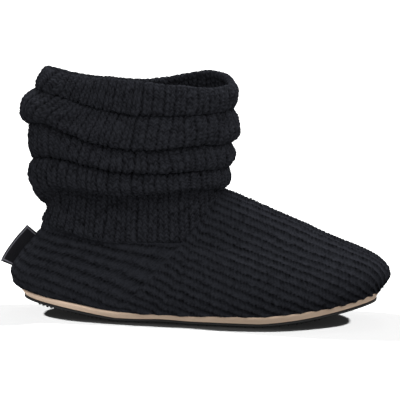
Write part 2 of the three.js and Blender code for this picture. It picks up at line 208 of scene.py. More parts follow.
@dataclass
class Foot:
    """The last: every surface of the shoe as a function of height and turn round the ring.

    A turn of 0 is the front of a ring, 0.25 its inner side, 0.5 the back and 0.75 the outer
    side. Lengths are in millimetres, and table columns are shares of them.
    """

    slipper_length: float = 260.0
    ball_width: float = 97.0
    vamp_height: float = 82.5
    outsole_thickness: float = 3.0
    midsole_thickness: float = 4.8
    fore_thickening: float = 1.6
    glue_gap: float = 0.45
    sole_end_inset: float = 5.0
    sole_side_inset: float = 3.5
    toe_spring: float = 14.0
    heel_spring: float = 10.5
    heel_spring_start: float = 0.45
    toe_spring_start: float = 0.35
    arch_rise: float = 0.6
    hang_at: tuple[float, ...] = (-1, -0.45, -0.25, -0.1, 0.05, 0.3, 0.6, 0.78, 1)
    hang_by: tuple[float, ...] = (0.2, 0.4, 2.2, 2.2, 1.6, 0.9, 1.0, 2.2, 2.0)
    hang_out: float = 2.1
    hang_rows: float = 0.09
    hem_rows: float = 0.03
    hem_turn: float = 3.2
    shaft_height: float = 82.0
    shaft_depth: float = 134.0
    shaft_width: float = 79.0
    fold_depth: float = 10.0
    fold_droop: float = 4.0
    end_fullness: float = 0.8
    origin: tuple[float, float] = (0.0, 0.0)
    print: Footprint = field(default_factory=Footprint)
    seat_long: float = 0.9385
    seat_wide: float = 0.9
    # Crease heights over the throat, at front, inner fore, inner, inner back, back, outer back,
    # outer and outer fore, from the ankle up to the rim.
    crease_heights: tuple[tuple[float, ...], ...] = (
        (0.012, 0.022, -0.009, -0.015, -0.152, 0.012, 0.013, 0.045),
        (0.195, 0.205, 0.18, 0.229, 0.215, 0.275, 0.22, 0.206),
        (0.416, 0.437, 0.376, 0.485, 0.513, 0.55, 0.416, 0.422),
        (0.682, 0.68, 0.607, 0.741, 0.815, 0.795, 0.689, 0.671),
        (0.87, 0.938, 0.835, 0.89, 0.985, 0.958, 0.92, 0.868),
    )
    crease_rear: tuple[float, ...] = (0.941, 0.99, 1.002, 0.972, 0.94)
    crease_fore: tuple[float, ...] = (0.0, 0.002, 0.01, 0.032, 0.048)
    crease_wide: tuple[float, ...] = (0.93, 0.985, 1.0, 1.01, 1.01)
    # One value for each of the four folds, from the ankle up.
    fold_back: tuple[float, ...] = (0.54, 0.2, 0.96, 0.12)
    fold_outer: tuple[float, ...] = (0.86, 0.7, 0.8, 0.28)
    fold_front: tuple[float, ...] = (0.26, 0.57, 0.57, 0.2)
    fold_inner: tuple[float, ...] = (0.46, 0.5, 0.66, 0.26)
    fold_droops: tuple[float, ...] = (0.2, 0.5, 0.9, 0.1)
    fold_low: tuple[float, ...] = (0.95, 0.9, 0.85, 0.9)
    fold_roundness: float = 0.65
    side_fold_low: float = 0.6
    side_fold_roundness: float = 1.05
    fold_sag: float = 4.6
    crease_cut: float = 3.4
    wrinkle: float = 0.7
    ankle_waist: float = 2.0
    ankle_side_waist: float = 3.4

    @property
    def seat(self) -> float:
        """Height of the foot's seat over the floor at the heel, before the springs."""
        return self.outsole_thickness + self.midsole_thickness + self.glue_gap

    @property
    def seat_outline(self) -> tuple[float, float]:
        """Half the length, and half the width at the ball, of the space inside the upper's walls."""
        return self.slipper_length / 2 * self.seat_long, self.ball_width / 2 * self.seat_wide

    def hem_fade(self, distance: Array) -> Array:
        """Share of its relief that the knit has at a distance from its hem: none where it turns in."""
        return ease(distance, self.hem_turn * 0.5, self.hem_turn + 1.5)

    def ring(self, turn: Array) -> tuple[Array, Array, Array]:
        """A ring's unit curve.

        Args:
            turn: share of the way round, from the front over the inner side.

        Returns:
            along (-1 back to 1 front), across (positive on the inner side) and the sine.
        """
        sine = np.sin(2 * np.pi * turn)
        return np.cos(2 * np.pi * turn), np.sign(sine) * np.abs(sine) ** self.end_fullness, sine

    def sole_lift(self, along: Array) -> Array:
        """How far the sole has lifted off the floor at a share of half its length."""
        toe = rise(along, self.toe_spring_start) ** 1.4
        heel = rise(-along, self.heel_spring_start) ** 1.1
        arch = np.cos(np.pi / 2 * np.minimum(1, np.abs(along + 0.18) / 0.18)) ** 2
        return self.toe_spring * toe + self.heel_spring * heel + self.arch_rise * arch

    def seat_lift(self, along: Array) -> Array:
        """How far the midsole's upper face has risen over its height at the heel."""
        return self.sole_lift(along) + self.fore_thickening * (1 + along) / 2

    def upper(self, row: Array, turn: Array) -> Array:
        """Points of the foot upper's outer face.

        Args:
            row: 0 at the feather edge to 1 at the ankle seam, and down to -hem_rows where the
                knit's edge is turned in under itself.
            turn: place round the ring.

        Returns:
            Points in millimetres, with a last axis of 3.
        """
        row, turn = np.broadcast_arrays(row, turn)
        hem = np.clip(-row / self.hem_rows, 0, 1)
        edge = 1 - ease(row, 0, self.hang_rows)
        row = np.maximum(row, 0)
        count = len(UPPER_ROWS["side"])
        at = np.arange(count) / (count - 1)
        col = {name: smooth_column(at, values, row) for name, values in UPPER_ROWS.items()}
        along, across, sine = self.ring(turn)
        place = (1 + along) / 2
        level = col["side"] / UPPER_ROWS["side"][-1]
        front = rise(along, mix(self.toe_spring_start, 0.58, level)) ** mix(1.8, 1.15, level)
        back = rise(-along, mix(self.heel_spring_start, 0.2, level)) ** 1.3
        height = col["side"] + (col["toe"] - col["side"]) * front + (col["heel"] - col["side"]) * back
        x = self.slipper_length / 2 * mix(-col["back"], col["front"], place)
        shape = mix(1, self.print.half_width(place, sine), col["print"])
        y = self.ball_width / 2 * col["wide"] * across * shape
        z = self.seat + self.vamp_height * height + col["spring"] * self.seat_lift(along)
        # The lowest knit bulges out and hangs over the sole, then turns in under itself.
        out = self.hang_out * edge - self.hem_turn * hem
        z = z - smooth_column(self.hang_at, self.hang_by, along) * edge + 0.3 * hem
        return np.stack([x + out * along + self.origin[0], y + out * across + self.origin[1], z], axis=-1)

    def outward(self, turn: Array) -> Array:
        """Level directions out from the ankle seam, shared by all the knit that meets there."""
        step = 0.002
        seam = self.upper(np.ones_like(turn), turn + step) - self.upper(np.ones_like(turn), turn - step)
        level = np.stack([seam[..., 1], -seam[..., 0], np.zeros_like(turn)], axis=-1)
        return level / np.linalg.norm(level, axis=-1, keepdims=True)

    @property
    def throat(self) -> tuple[float, float]:
        """x before the origin's shift, and height, of the throat where the shaft stands."""
        x = self.slipper_length / 2 * UPPER_ROWS["front"][-1]
        return x, self.seat + self.vamp_height * UPPER_ROWS["toe"][-1]

    def crease(self, level: int, turn: Array) -> Array:
        """Height of a crease round its ring, as a smooth closed curve, in millimetres."""
        columns = np.asarray(self.crease_heights[level], float)
        closed = np.concatenate([columns[-2:], columns, columns[:3]])
        places = np.arange(-2, len(columns) + 3)
        share = smooth_column(places, closed, (turn % 1.0) * len(columns))
        return self.throat[1] + self.shaft_height * share

    def shaft(self, level: Array, turn: Array) -> Array:
        """Points of the shaft's outer face.

        Args:
            level: 0 at the ankle seam, 1 at the lowest crease, and one more for each fold up
                to 5 at the top of the collar.
            turn: place round the ring.

        Returns:
            Points in millimetres, with a last axis of 3.
        """
        level, turn = np.broadcast_arrays(level, turn)
        along, across, sine = self.ring(turn)
        place = (1 + along) / 2
        heights = np.stack([self.crease(k, turn) for k in range(5)])
        lower = np.clip(np.floor(level).astype(int) - 1, 0, 3)
        step = np.clip(level - 1 - lower, 0, 1)

        def blend(column: tuple[float, ...]) -> Array:
            """A column's value between the two creases."""
            return mix(at_row(column, lower), at_row(column, lower + 1), step)

        z = mix(
            np.take_along_axis(heights, lower[None], 0)[0],
            np.take_along_axis(heights, lower[None] + 1, 0)[0],
            step,
        )
        # On the sides the folds hang lower than at the front and back, over the crease beneath.
        low = mix(at_row(self.fold_low, lower), self.side_fold_low, sine**2)
        roundness = mix(self.fold_roundness, self.side_fold_roundness, sine**2)
        full = np.maximum(0, np.sin(np.pi * step**low)) ** roundness
        z = z - self.fold_sag * full * (1 - step) * sine**2
        wander = 1 + 0.16 * lattice_noise(turn * 9, lower * 7.3 + step * 0.7, 5, period=9)
        out = self.fold_depth * full * wander - self.crease_cut * (1 - full) ** 2
        out = out + self.wrinkle * lattice_noise(turn * 13, level * 4.3, 6, period=13)
        out = out + self.wrinkle * 0.6 * lattice_noise(turn * 29 + level, level * 7.1, 7, period=29)
        z = z - self.fold_droop * full * at_row(self.fold_droops, lower) * place
        rear = self.throat[0] - self.shaft_depth * blend(self.crease_rear)
        rear = rear - out * at_row(self.fold_back, lower)
        fore = self.throat[0] + self.shaft_depth * blend(self.crease_fore)
        fore = fore + out * at_row(self.fold_front, lower)
        bulge = np.where(sine >= 0, at_row(self.fold_inner, lower), at_row(self.fold_outer, lower))
        wide = self.shaft_width / 2 * blend(self.crease_wide) + out * bulge
        x, y = mix(rear, fore, place) + self.origin[0], wide * across + self.origin[1]
        folds = np.stack([x, y, z], axis=-1)
        seam = self.upper(np.ones_like(turn), turn)
        climb = np.clip(level, 0, 1)
        ankle = mix(seam, folds, climb[..., None])
        # The ankle pulls in under the lowest fold.
        waist = np.sin(np.pi * climb**1.6)
        ankle[..., 0] -= self.ankle_waist * waist * along
        ankle[..., 1] -= self.ankle_side_waist * waist * across
        return np.where((level < 1)[..., None], ankle, folds)

    def sole(self, half_long: float, half_wide: float, height: float, turn: Array, lift: Array) -> Array:
        """A ring of a sole piece, raised by a lift that is given for each turn.

        Args:
            half_long: half the ring's length.
            half_wide: half its width at the ball.
            height: height over the floor before the lift.
            turn: places round the ring.
            lift: height to add at each place.

        Returns:
            Points in millimetres.
        """
        along, across, sine = self.ring(turn)
        wide = half_wide * across * self.print.half_width((1 + along) / 2, sine)
        return np.stack([half_long * along + self.origin[0], wide + self.origin[1], height + lift], axis=-1)


@dataclass(frozen=True)
class RibKnit:
    """A rib knit: pitch of the ribs and stitches, and how deep they are, in millimetres.

    With paired ribs, the groove inside each pair is shallower by that share.
    """

    rib: float
    stitch: float
    rib_depth: float = 1.5
    stitch_depth: float = 0.7
    paired: float = 0.0
    groove_power: float = 2.2
    loop_lean: float = 1.2
    stray: float = 1.0
    uneven: float = 0.35

    def height(self, u: Array, v: Array) -> Array:
        """Height of the yarn over the bottom of the grooves.

        Args:
            u: place across the ribs, one unit a rib.
            v: place along the ribs, one unit a stitch.

        Returns:
            Heights in millimetres.
        """
        f = u - np.floor(u)
        off = np.abs(2 * f - 1)
        inside = (np.floor(u + 0.5) % 2) * self.paired
        crest = 1 - (1 - inside) * off**self.groove_power
        legs = np.abs(np.sin(np.pi * (v + LEG_LEAN * off)))
        aslant = v + self.loop_lean * (u - np.round(u))
        purl = np.exp(-(((off - 1) / 0.3) ** 2)) * (0.5 + 0.5 * np.cos(2 * np.pi * (aslant + 0.3)))
        uneven = 1 + self.uneven * lattice_noise(u * 1.3, v * 0.9, 3)
        return (self.rib_depth * crest + self.stitch_depth * (0.55 * crest * legs + purl)) * uneven

    def warped(self, u: Array, v: Array, seed: int, period: int = 64) -> Array:
        """Hand the knit its uneven tension: ribs that wander and stitches of unlike length.

        Args:
            u: place across the ribs.
            v: place along the ribs.
            seed: picks the pattern.
            period: how many pairs of ribs it takes to repeat.

        Returns:
            The new u and v on a last axis.
        """
        slow = lattice_noise(u * 0.5, v * 0.17, seed, period)
        quick = lattice_noise(u * 0.5 + 0.3, v * 0.8, seed + 1, period)
        pull = lattice_noise(u * 0.5, v * 0.31 + 5, seed + 2, period)
        return np.stack([u + self.stray * (0.18 * slow + 0.14 * quick), v + 0.7 * pull], axis=-1)


@dataclass
class Sheet:
    """A sheet of rows by columns of points, in millimetres, that becomes one mesh piece.

    It is closed if its first and last columns are the same line, and uv holds the knit's
    coordinates at each point.
    """

    name: str
    points: Array
    closed: bool = False
    uv: Array | None = None

    def normals(self) -> Array:
        """Unit normals of the sheet at its points, from the neighbours' places."""
        right = np.gradient(self.points, axis=1)
        if self.closed:
            ring = self.points[:, :-1]
            right = (np.roll(ring, -1, axis=1) - np.roll(ring, 1, axis=1)) / 2
            right = np.concatenate([right, right[:, :1]], axis=1)
        return unit(np.cross(right, np.gradient(self.points, axis=0)))

    def raised(
        self, height: Array, smooth: int = 0, level: Array | None = None, share: Array | float = 0.0
    ) -> "Sheet":
        """The sheet moved out along its normals.

        Args:
            height: how far at each point, in millimetres.
            smooth: how often the normals are averaged with their neighbours first.
            level: directions to lean towards, so that two sheets move alike at their seam.
            share: how much of the way to lean at each point.

        Returns:
            A new sheet.
        """
        normal = self.normals()
        if level is not None:
            normal = unit(mix(normal, level, np.asarray(share)[..., None]))
        for _ in range(smooth):
            normal = normal + np.roll(normal, 1, 0) + np.roll(normal, -1, 0)
            normal = unit(normal + np.roll(normal, 1, 1) + np.roll(normal, -1, 1))
        return Sheet(self.name, self.points + normal * height[..., None], self.closed, self.uv)

    def build(self, kept: Array | None = None) -> bpy.types.Object:
        """Shape a grid primitive into the sheet.

        Args:
            kept: True for each point that the piece keeps, or None for all of them.

        Returns:
            The new object, smooth shaded, with the UV map "knit" where uv was given.
        """
        rows, columns = self.points.shape[:2]
        bpy.ops.object.select_all(action="DESELECT")
        bpy.ops.mesh.primitive_grid_add(x_subdivisions=columns - 1, y_subdivisions=rows - 1, size=1)
        piece = bpy.context.object
        piece.name = piece.data.name = self.name
        mesh = piece.data
        mesh.vertices.foreach_set("co", (self.points * MM).astype(np.float32).ravel())
        while mesh.uv_layers:
            mesh.uv_layers.remove(mesh.uv_layers[0])
        if self.uv is not None:
            corners = np.empty(len(mesh.loops), np.int32)
            mesh.loops.foreach_get("vertex_index", corners)
            layer = mesh.uv_layers.new(name="knit")
            layer.data.foreach_set("uv", self.uv.reshape(-1, 2)[corners].astype(np.float32).ravel())
        mesh.update()
        bpy.ops.object.mode_set(mode="EDIT")
        if kept is not None:
            bpy.ops.mesh.select_mode(type="VERT")
            bpy.ops.mesh.select_all(action="DESELECT")
            bpy.ops.object.mode_set(mode="OBJECT")
            mesh.vertices.foreach_set("select", ~kept.ravel())
            bpy.ops.object.mode_set(mode="EDIT")
            bpy.ops.mesh.delete(type="VERT")
        bpy.ops.mesh.select_all(action="SELECT")
        bpy.ops.mesh.remove_doubles(threshold=MERGED)
        bpy.ops.mesh.dissolve_degenerate(threshold=MERGED)
        bpy.ops.mesh.delete_loose()
        bpy.ops.object.mode_set(mode="OBJECT")
        bpy.ops.object.shade_smooth()
        return piece


def node(material: bpy.types.Material, kind: str, inputs: dict | tuple = (), **settings) -> bpy.types.Node:
    """Add a node with its settings and links.

    Args:
        material: whose node tree gets it, or a world.
        kind: the node's type without its prefix, such as "Math".
        inputs: values, sockets or nodes, in order or by the input's name; a node stands for its
            first output.
        settings: attributes of the node, such as operation="ADD".

    Returns:
        The new node.
    """
    tree = material.node_tree
    made = tree.nodes.new("ShaderNode" + kind)
    for name, value in settings.items():
        setattr(made, name, value)
    for key, value in inputs.items() if isinstance(inputs, dict) else enumerate(inputs):
        source = value.outputs[0] if isinstance(value, bpy.types.Node) else value
        if isinstance(source, bpy.types.NodeSocket):
            tree.links.new(source, made.inputs[key])
        else:
            made.inputs[key].default_value = source
    return made


def blank_material(name: str) -> bpy.types.Material:
    """Start a node material with an empty tree."""
    material = bpy.data.materials.new(name)
    material.use_nodes = True
    material.node_tree.nodes.clear()
    return material


@dataclass(frozen=True)
class Finish:
    """A finish is a node tree that ends in one shader."""

    def shading(self, material: bpy.types.Material) -> dict:
        """Add the finish's nodes and give the shader's inputs."""
        raise NotImplementedError

    def material(self, name: str) -> bpy.types.Material:
        """Build the finish's material.

        Args:
            name: the material's name.

        Returns:
            The material.
        """
        material = blank_material(name)
        node(material, "OutputMaterial", (node(material, "BsdfPrincipled", self.shading(material)),))
        return material


@dataclass(frozen=True)
class WoolKnit(Finish):
    """Acrylic and wool yarn, rib knitted: matt and furry, with painted shade in the holes and grooves between
    its stitches.
    """

    # The darkest tone serves both for yarn that is darker by chance and for the painted shade in grooves and
    # holes.
    dark_yarn_and_shade: str = "060607"
    yarn: str = "222327"
    sheen_tint: str = "8f93a0"
    clump_size: float = 1.6
    fibre_size: float = 0.5
    paired: float = 0.0
    groove_power: float = 1.8
    loop_lean: float = 1.2
    leg_depth: float = 1.2
    chance: float = 0.32
    speckle: float = 0.7
    lift: float = 0.11

    def shading(self, material: bpy.types.Material) -> dict:
        """Draw the stitches on the piece's knit coordinates."""
        place = node(material, "TexCoord").outputs["Object"]
        knit = node(material, "UVMap", uv_map="knit")
        # Soft clumps of fibre push the stitches about and blur their edges.
        clumps = node(material, "TexNoise", {"Vector": place, "Scale": 500 / self.clump_size, "Detail": 1.0})
        middle = (0.5, 0.5, 0.5)
        centred = node(material, "VectorMath", (clumps.outputs["Color"], middle), operation="SUBTRACT")
        pushed = node(material, "VectorMath", (centred, (0.4, 0.8, 0.9), knit), operation="MULTIPLY_ADD")
        u, v, fuzz = node(material, "SeparateXYZ", (pushed,)).outputs
        # Off is 1 in a groove and 0 on the middle of a rib.
        near = node(material, "Math", (u, 0.5), operation="PINGPONG")
        off = node(material, "Math", (near, -2.0, 1.0), operation="MULTIPLY_ADD")
        groove = node(material, "Math", (off, self.groove_power), operation="POWER")
        nearest = node(material, "Math", (u,), operation="ROUND")
        odd = node(material, "Math", (nearest, 2.0), operation="FLOORED_MODULO")
        depth = node(material, "Math", (odd, -self.paired, 1.0), operation="MULTIPLY_ADD")
        groove = node(material, "Math", (groove, depth), operation="MULTIPLY")
        # Each stitch is a V whose legs lean away from the middle of the rib.
        lean = node(material, "Math", (off, LEG_LEAN, v), operation="MULTIPLY_ADD")
        legs = node(material, "Math", (lean, 0.5), operation="PINGPONG")
        raised = (legs, self.leg_depth, 1 - self.leg_depth / 2)
        legs = node(material, "Math", raised, operation="MULTIPLY_ADD")
        # Down in the groove the purl loops bridge it aslant, with painted shade in the holes between them.
        aslant = node(material, "Math", (u, nearest), operation="SUBTRACT")
        aslant = node(material, "Math", (aslant, self.loop_lean, v), operation="MULTIPLY_ADD")
        loops = node(material, "Math", (aslant, 0.8), operation="ADD")
        loops = node(material, "Math", (loops, 0.5), operation="PINGPONG")
        surface = {"Factor": groove, "A": legs, "B": loops}
        yarn = node(material, "Mix", surface, data_type="FLOAT", clamp_factor=True)
        stitch = node(material, "VectorMath", (pushed,), operation="FLOOR")
        chance = node(material, "TexWhiteNoise", {"Vector": stitch}, noise_dimensions="2D")
        noise = {"Vector": place, "Scale": 500 / self.fibre_size, "Detail": 2.0, "Roughness": 0.7}
        fibres = node(material, "TexNoise", noise)
        # Stitches differ in tone by chance, and so do their fibres. Half of both comes off again.
        tone = node(material, "Math", (chance.outputs["Value"], self.chance, fuzz), operation="MULTIPLY_ADD")
        tone = node(material, "Math", (fibres, self.speckle, tone), operation="MULTIPLY_ADD")
        # The yarn's relief darkens the colour too: painted shade in the grooves, in the holes and between a
        # stitch's legs.
        tone = node(material, "Math", (yarn, 0.95, tone), operation="MULTIPLY_ADD")
        middle_tone = (self.chance + self.speckle) / 2 - self.lift
        tone = node(material, "Math", (tone, middle_tone), operation="SUBTRACT", use_clamp=True)
        tones = {"Factor": tone, "A": linear(self.dark_yarn_and_shade), "B": linear(self.yarn)}
        height = node(material, "Math", (fibres, 0.3, yarn), operation="MULTIPLY_ADD")
        height = node(material, "Math", (fuzz, 0.3, height), operation="MULTIPLY_ADD")
        return {
            "Base Color": node(material, "Mix", tones, data_type="RGBA").outputs["Result"],
            "Normal": node(material, "Bump", {"Height": height, "Strength": 0.9, "Distance": MM}),
            "Roughness": 0.92,
            "Specular IOR Level": 0.0,
            "Sheen Weight": 0.04,
            "Sheen Roughness": 0.45,
            "Sheen Tint": linear(self.sheen_tint),
        }


@dataclass(frozen=True)
class TwoTone(Finish):
    """A skin that drifts in soft clouds between two tones, over a fine grain if it has one.

    Cloud and grain are counts in a millimetre, and the grain's depth is in millimetres. A grain
    with a lowest roughness also varies the gloss.
    """

    low: str = "000000"
    high: str = "ffffff"
    cloud: float = 0.1
    cloud_detail: float = 2.0
    grain: float = 0.0
    grain_detail: float = 3.0
    grain_roughness: float = 0.6
    grain_strength: float = 0.3
    grain_depth: float = 0.3
    lowest_roughness: float | None = None
    roughness: float = 0.5
    specular: float = 0.5
    sheen: float = 0.0

    def shading(self, material: bpy.types.Material) -> dict:
        """Mix the two tones and raise the grain."""
        place = node(material, "TexCoord").outputs["Object"]
        noise = {"Vector": place, "Scale": self.cloud / MM, "Detail": self.cloud_detail}
        tones = {"Factor": node(material, "TexNoise", noise), "A": linear(self.low), "B": linear(self.high)}
        inputs = {
            "Base Color": node(material, "Mix", tones, data_type="RGBA").outputs["Result"],
            "Roughness": self.roughness,
            "Specular IOR Level": self.specular,
            "Sheen Weight": self.sheen,
        }
        if self.grain:
            noise = {"Vector": place, "Scale": self.grain / MM, "Detail": self.grain_detail}
            grain = node(material, "TexNoise", {**noise, "Roughness": self.grain_roughness})
            relief = {"Height": grain, "Strength": self.grain_strength, "Distance": self.grain_depth * MM}
            inputs["Normal"] = node(material, "Bump", relief)
            if self.lowest_roughness is not None:
                gloss = {"Value": grain, "To Min": self.lowest_roughness, "To Max": self.roughness}
                inputs["Roughness"] = node(material, "MapRange", gloss)
        return inputs


@dataclass(frozen=True)
class LooseFibre(TwoTone):
    """Single wool and acrylic fibres that stand off the yarn: thin, dark and matt."""

    low: str = "131416"
    high: str = "2a2b2f"
    cloud: float = 0.3
    roughness: float = 0.8
    specular: float = 0.0


@dataclass(frozen=True)
class Fleece(TwoTone):
    """Brushed jersey lining: short soft pile with no thread to see."""

    low: str = "121316"
    high: str = "232428"
    cloud: float = 0.18
    grain: float = 0.7
    grain_detail: float = 4.0
    grain_roughness: float = 0.65
    grain_strength: float = 0.6
    grain_depth: float = 0.8
    roughness: float = 0.95
    specular: float = 0.0
    sheen: float = 0.05


@dataclass(frozen=True)
class MouldedFoam(TwoTone):
    """Compression-moulded EVA foam: a matt skin with a fine closed-cell grain."""

    low: str = "bfa792"
    high: str = "ceb59e"
    cloud: float = 0.06
    cloud_detail: float = 4.0
    grain: float = 1.4
    grain_strength: float = 0.35
    roughness: float = 0.75


@dataclass(frozen=True)
class MouldedRubber(TwoTone):
    """Moulded thermoplastic rubber: near black, with a dull and finely pitted skin."""

    low: str = "111213"
    high: str = "1d1d1d"
    cloud: float = 0.09
    cloud_detail: float = 3.0
    grain: float = 0.9
    lowest_roughness: float | None = 0.5
    roughness: float = 0.72
    specular: float = 0.2


@dataclass(frozen=True)
class WovenRibbon(Finish):
    """Damask-woven polyester ribbon: flat and silky, with a paler border woven inside its edges.

    The threads are drawn twice as coarse as real ones, so that they show.
    """

    warp: str = "08080b"
    weft: str = "151519"
    border: str = "5a5a60"
    thread_pitch: float = 0.5
    width: float = 29.0
    reach: float = 9.3
    border_inset: float = 1.3
    border_half: float = 0.35

    def shading(self, material: bpy.types.Material) -> dict:
        """Draw the weave and its border on the ribbon's own coordinates, in millimetres."""
        flat = node(material, "UVMap", uv_map="knit")
        out, across, _ = node(material, "SeparateXYZ", (flat,)).outputs
        threads = {"Vector": flat, "Color1": linear(self.warp), "Color2": linear(self.weft)}
        weave = node(material, "TexChecker", {**threads, "Scale": 1 / self.thread_pitch})
        # The border runs along both selvedges and the fold.
        edge = node(material, "Math", (across, self.width / 2), operation="PINGPONG")
        along = node(material, "Math", (edge, self.border_inset, self.border_half), operation="COMPARE")
        folded = (out, self.reach - self.border_inset, self.border_half)
        fold = node(material, "Math", folded, operation="COMPARE")
        line = node(material, "Math", (along, fold), operation="MAXIMUM")
        tones = {"Factor": line, "A": weave, "B": linear(self.border)}
        height = node(material, "Math", (line, 1.0, weave.outputs["Fac"]), operation="MULTIPLY_ADD")
        return {
            "Base Color": node(material, "Mix", tones, data_type="RGBA").outputs["Result"],
            "Normal": node(material, "Bump", {"Height": height, "Strength": 0.6, "Distance": 0.3 * MM}),
            "Roughness": 0.5,
            "Specular IOR Level": 0.06,
        }


def select_only(*pieces: bpy.types.Object) -> None:
    """Select these pieces and nothing else, and make the first the active one."""
    bpy.ops.object.select_all(action="DESELECT")
    for piece in pieces:
        piece.select_set(True)
    bpy.context.view_layer.objects.active = pieces[0]


def repeated(name: str, shapes: Array, faces: list[tuple[int, ...]]) -> bpy.types.Object:
    """Make one object of many copies of a small shape.

    Args:
        name: the object's name.
        shapes: copies by points by 3, in metres.
        faces: the faces of one copy.

    Returns:
        The object, the only one selected.
    """
    copies, size = shapes.shape[:2]
    polys = [tuple(start + k for k in face) for start in range(0, copies * size, size) for face in faces]
    mesh = bpy.data.meshes.new(name)
    mesh.from_pydata(shapes.reshape(-1, 3).tolist(), [], polys)
    mesh.update()
    piece = bpy.data.objects.new(name, mesh)
    bpy.context.scene.collection.objects.link(piece)
    select_only(piece)
    return piece


def finish_piece(piece: bpy.types.Object, material: bpy.types.Material, slot: str, *nodes: str) -> None:
    """Dress a piece, fix it to the shoe and hide the solids it stands for.

    Args:
        piece: the object.
        material: its material.
        slot: not used.
        nodes: the CAD nodes that it replaces.
    """
    piece.data.materials.clear()
    piece.data.materials.append(material)
    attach(piece, "root")
    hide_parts(*nodes)
    log.info("%s: %d faces", piece.name, len(piece.data.polygons))


@dataclass
class Seams:
    """Where the vamp meets the heel panel, as seen level from the side.

    The curve runs from the sole up to the corner of the ankle seam. Places along the foot and
    heights are in millimetres in the shoe's frame.
    """

    heights: tuple[float, ...] = (6.0, 11.0, 21.9, 26.4, 49.2, 57.5)
    places: tuple[float, ...] = (-49.5, -45.5, -35.0, -30.0, -10.1, -2.5)

    def turn(self, foot: Foot, row: Array) -> Array:
        """Place round the ring where the seam crosses each row, on the outer side.

        Args:
            foot: the last.
            row: 0 at the feather edge to 1 at the ankle seam.

        Returns:
            Turns between 0.5 and 1.
        """
        turns = np.linspace(0.5, 1.0, 600)
        found = []
        for level in np.ravel(row):
            ring = foot.upper(np.full_like(turns, level), turns)
            ahead = ring[:, 0] - np.interp(ring[:, 2], self.heights, self.places)
            found.append(np.interp(0.0, ahead, turns))
        return np.asarray(found).reshape(np.shape(row))


WIDE_RIB = RibKnit(
    rib=5.7, stitch=2.6, rib_depth=1.15, stitch_depth=0.5, loop_lean=0.9, stray=0.3, uneven=0.22
)


@dataclass
class HeelPanel:
    """The knitted heel: ribs that run round the back, from the seam of one side to the other's."""

    foot: Foot
    seams: Seams
    knit: RibKnit = replace(WIDE_RIB, rib=5.9, rib_depth=1.3)
    ribs: float = 9.5
    lean_high: float = 4.0
    lean_low: float = 11.5
    grain: float = 0.72
    tallest: float = 62.0
    longest: float = 215.0
    seam_sink: float = 0.5
    seam_spread: float = 1.6
    side_reach: float = 3.2
    top_reach: float = 3.0
    stretched: tuple[float, float] = (4.0, 30.0)
    ripple: float = 0.35
    ripple_length: float = 14.0

    def build(self) -> bpy.types.Object:
        """Model the panel with its ribs, stitches and sunk seams.

        Returns:
            The piece.
        """
        hem = np.linspace(-self.foot.hem_rows, 0, 5)[:-1]
        row = np.concatenate([hem, np.linspace(0, 1, int(self.tallest / self.grain))])
        start = self.seams.turn(self.foot, row)
        count = int(self.longest / self.grain)
        turn = mix(start[:, None], (1 - start)[:, None], np.linspace(0, 1, count)[None, :])
        base = self.foot.upper(np.broadcast_to(row[:, None], turn.shape), turn)
        length = arc_lengths(base, axis=1)
        from_back = length - length[:, count // 2][:, None]
        up = arc_lengths(base, axis=0)
        climb = up / up[-1:, :]
        lean = np.tan(np.radians(mix(self.lean_low, self.lean_high, climb)))
        u = self.ribs * climb + np.abs(from_back) * lean / self.knit.rib
        uv = self.knit.warped(u, from_back / self.knit.stitch, 11)
        edge = np.minimum(length, length[:, -1:] - length)
        top = up[-1:, :] - up
        sink = np.minimum(ease(edge, 0, self.side_reach), ease(top, 0, self.top_reach))
        # Round the back the ribs are stretched flat over the heel.
        flat = ease(np.abs(from_back), *self.stretched)
        height = self.knit.height(uv[..., 0], uv[..., 1]) * mix(SEAM_RELIEF, 1, sink * flat)
        height = height - self.seam_sink * np.exp(-((from_back / self.seam_spread) ** 2))
        waves = lattice_noise(length / self.ripple_length, up / self.ripple_length, 12)
        height = height + self.ripple * waves - KNIT_SINK
        height = mix(-SEAM_DEPTH, height, ease(np.minimum(edge, top), 0, SEAM_WIDTH)) * self.foot.hem_fade(up)
        level = np.broadcast_to(self.foot.outward(turn[-1])[None], base.shape)
        sheet = Sheet("heel_knit", base, uv=uv)
        return sheet.raised(height, level=level, share=1 - ease(top, 0, SEAM_WIDTH)).build()


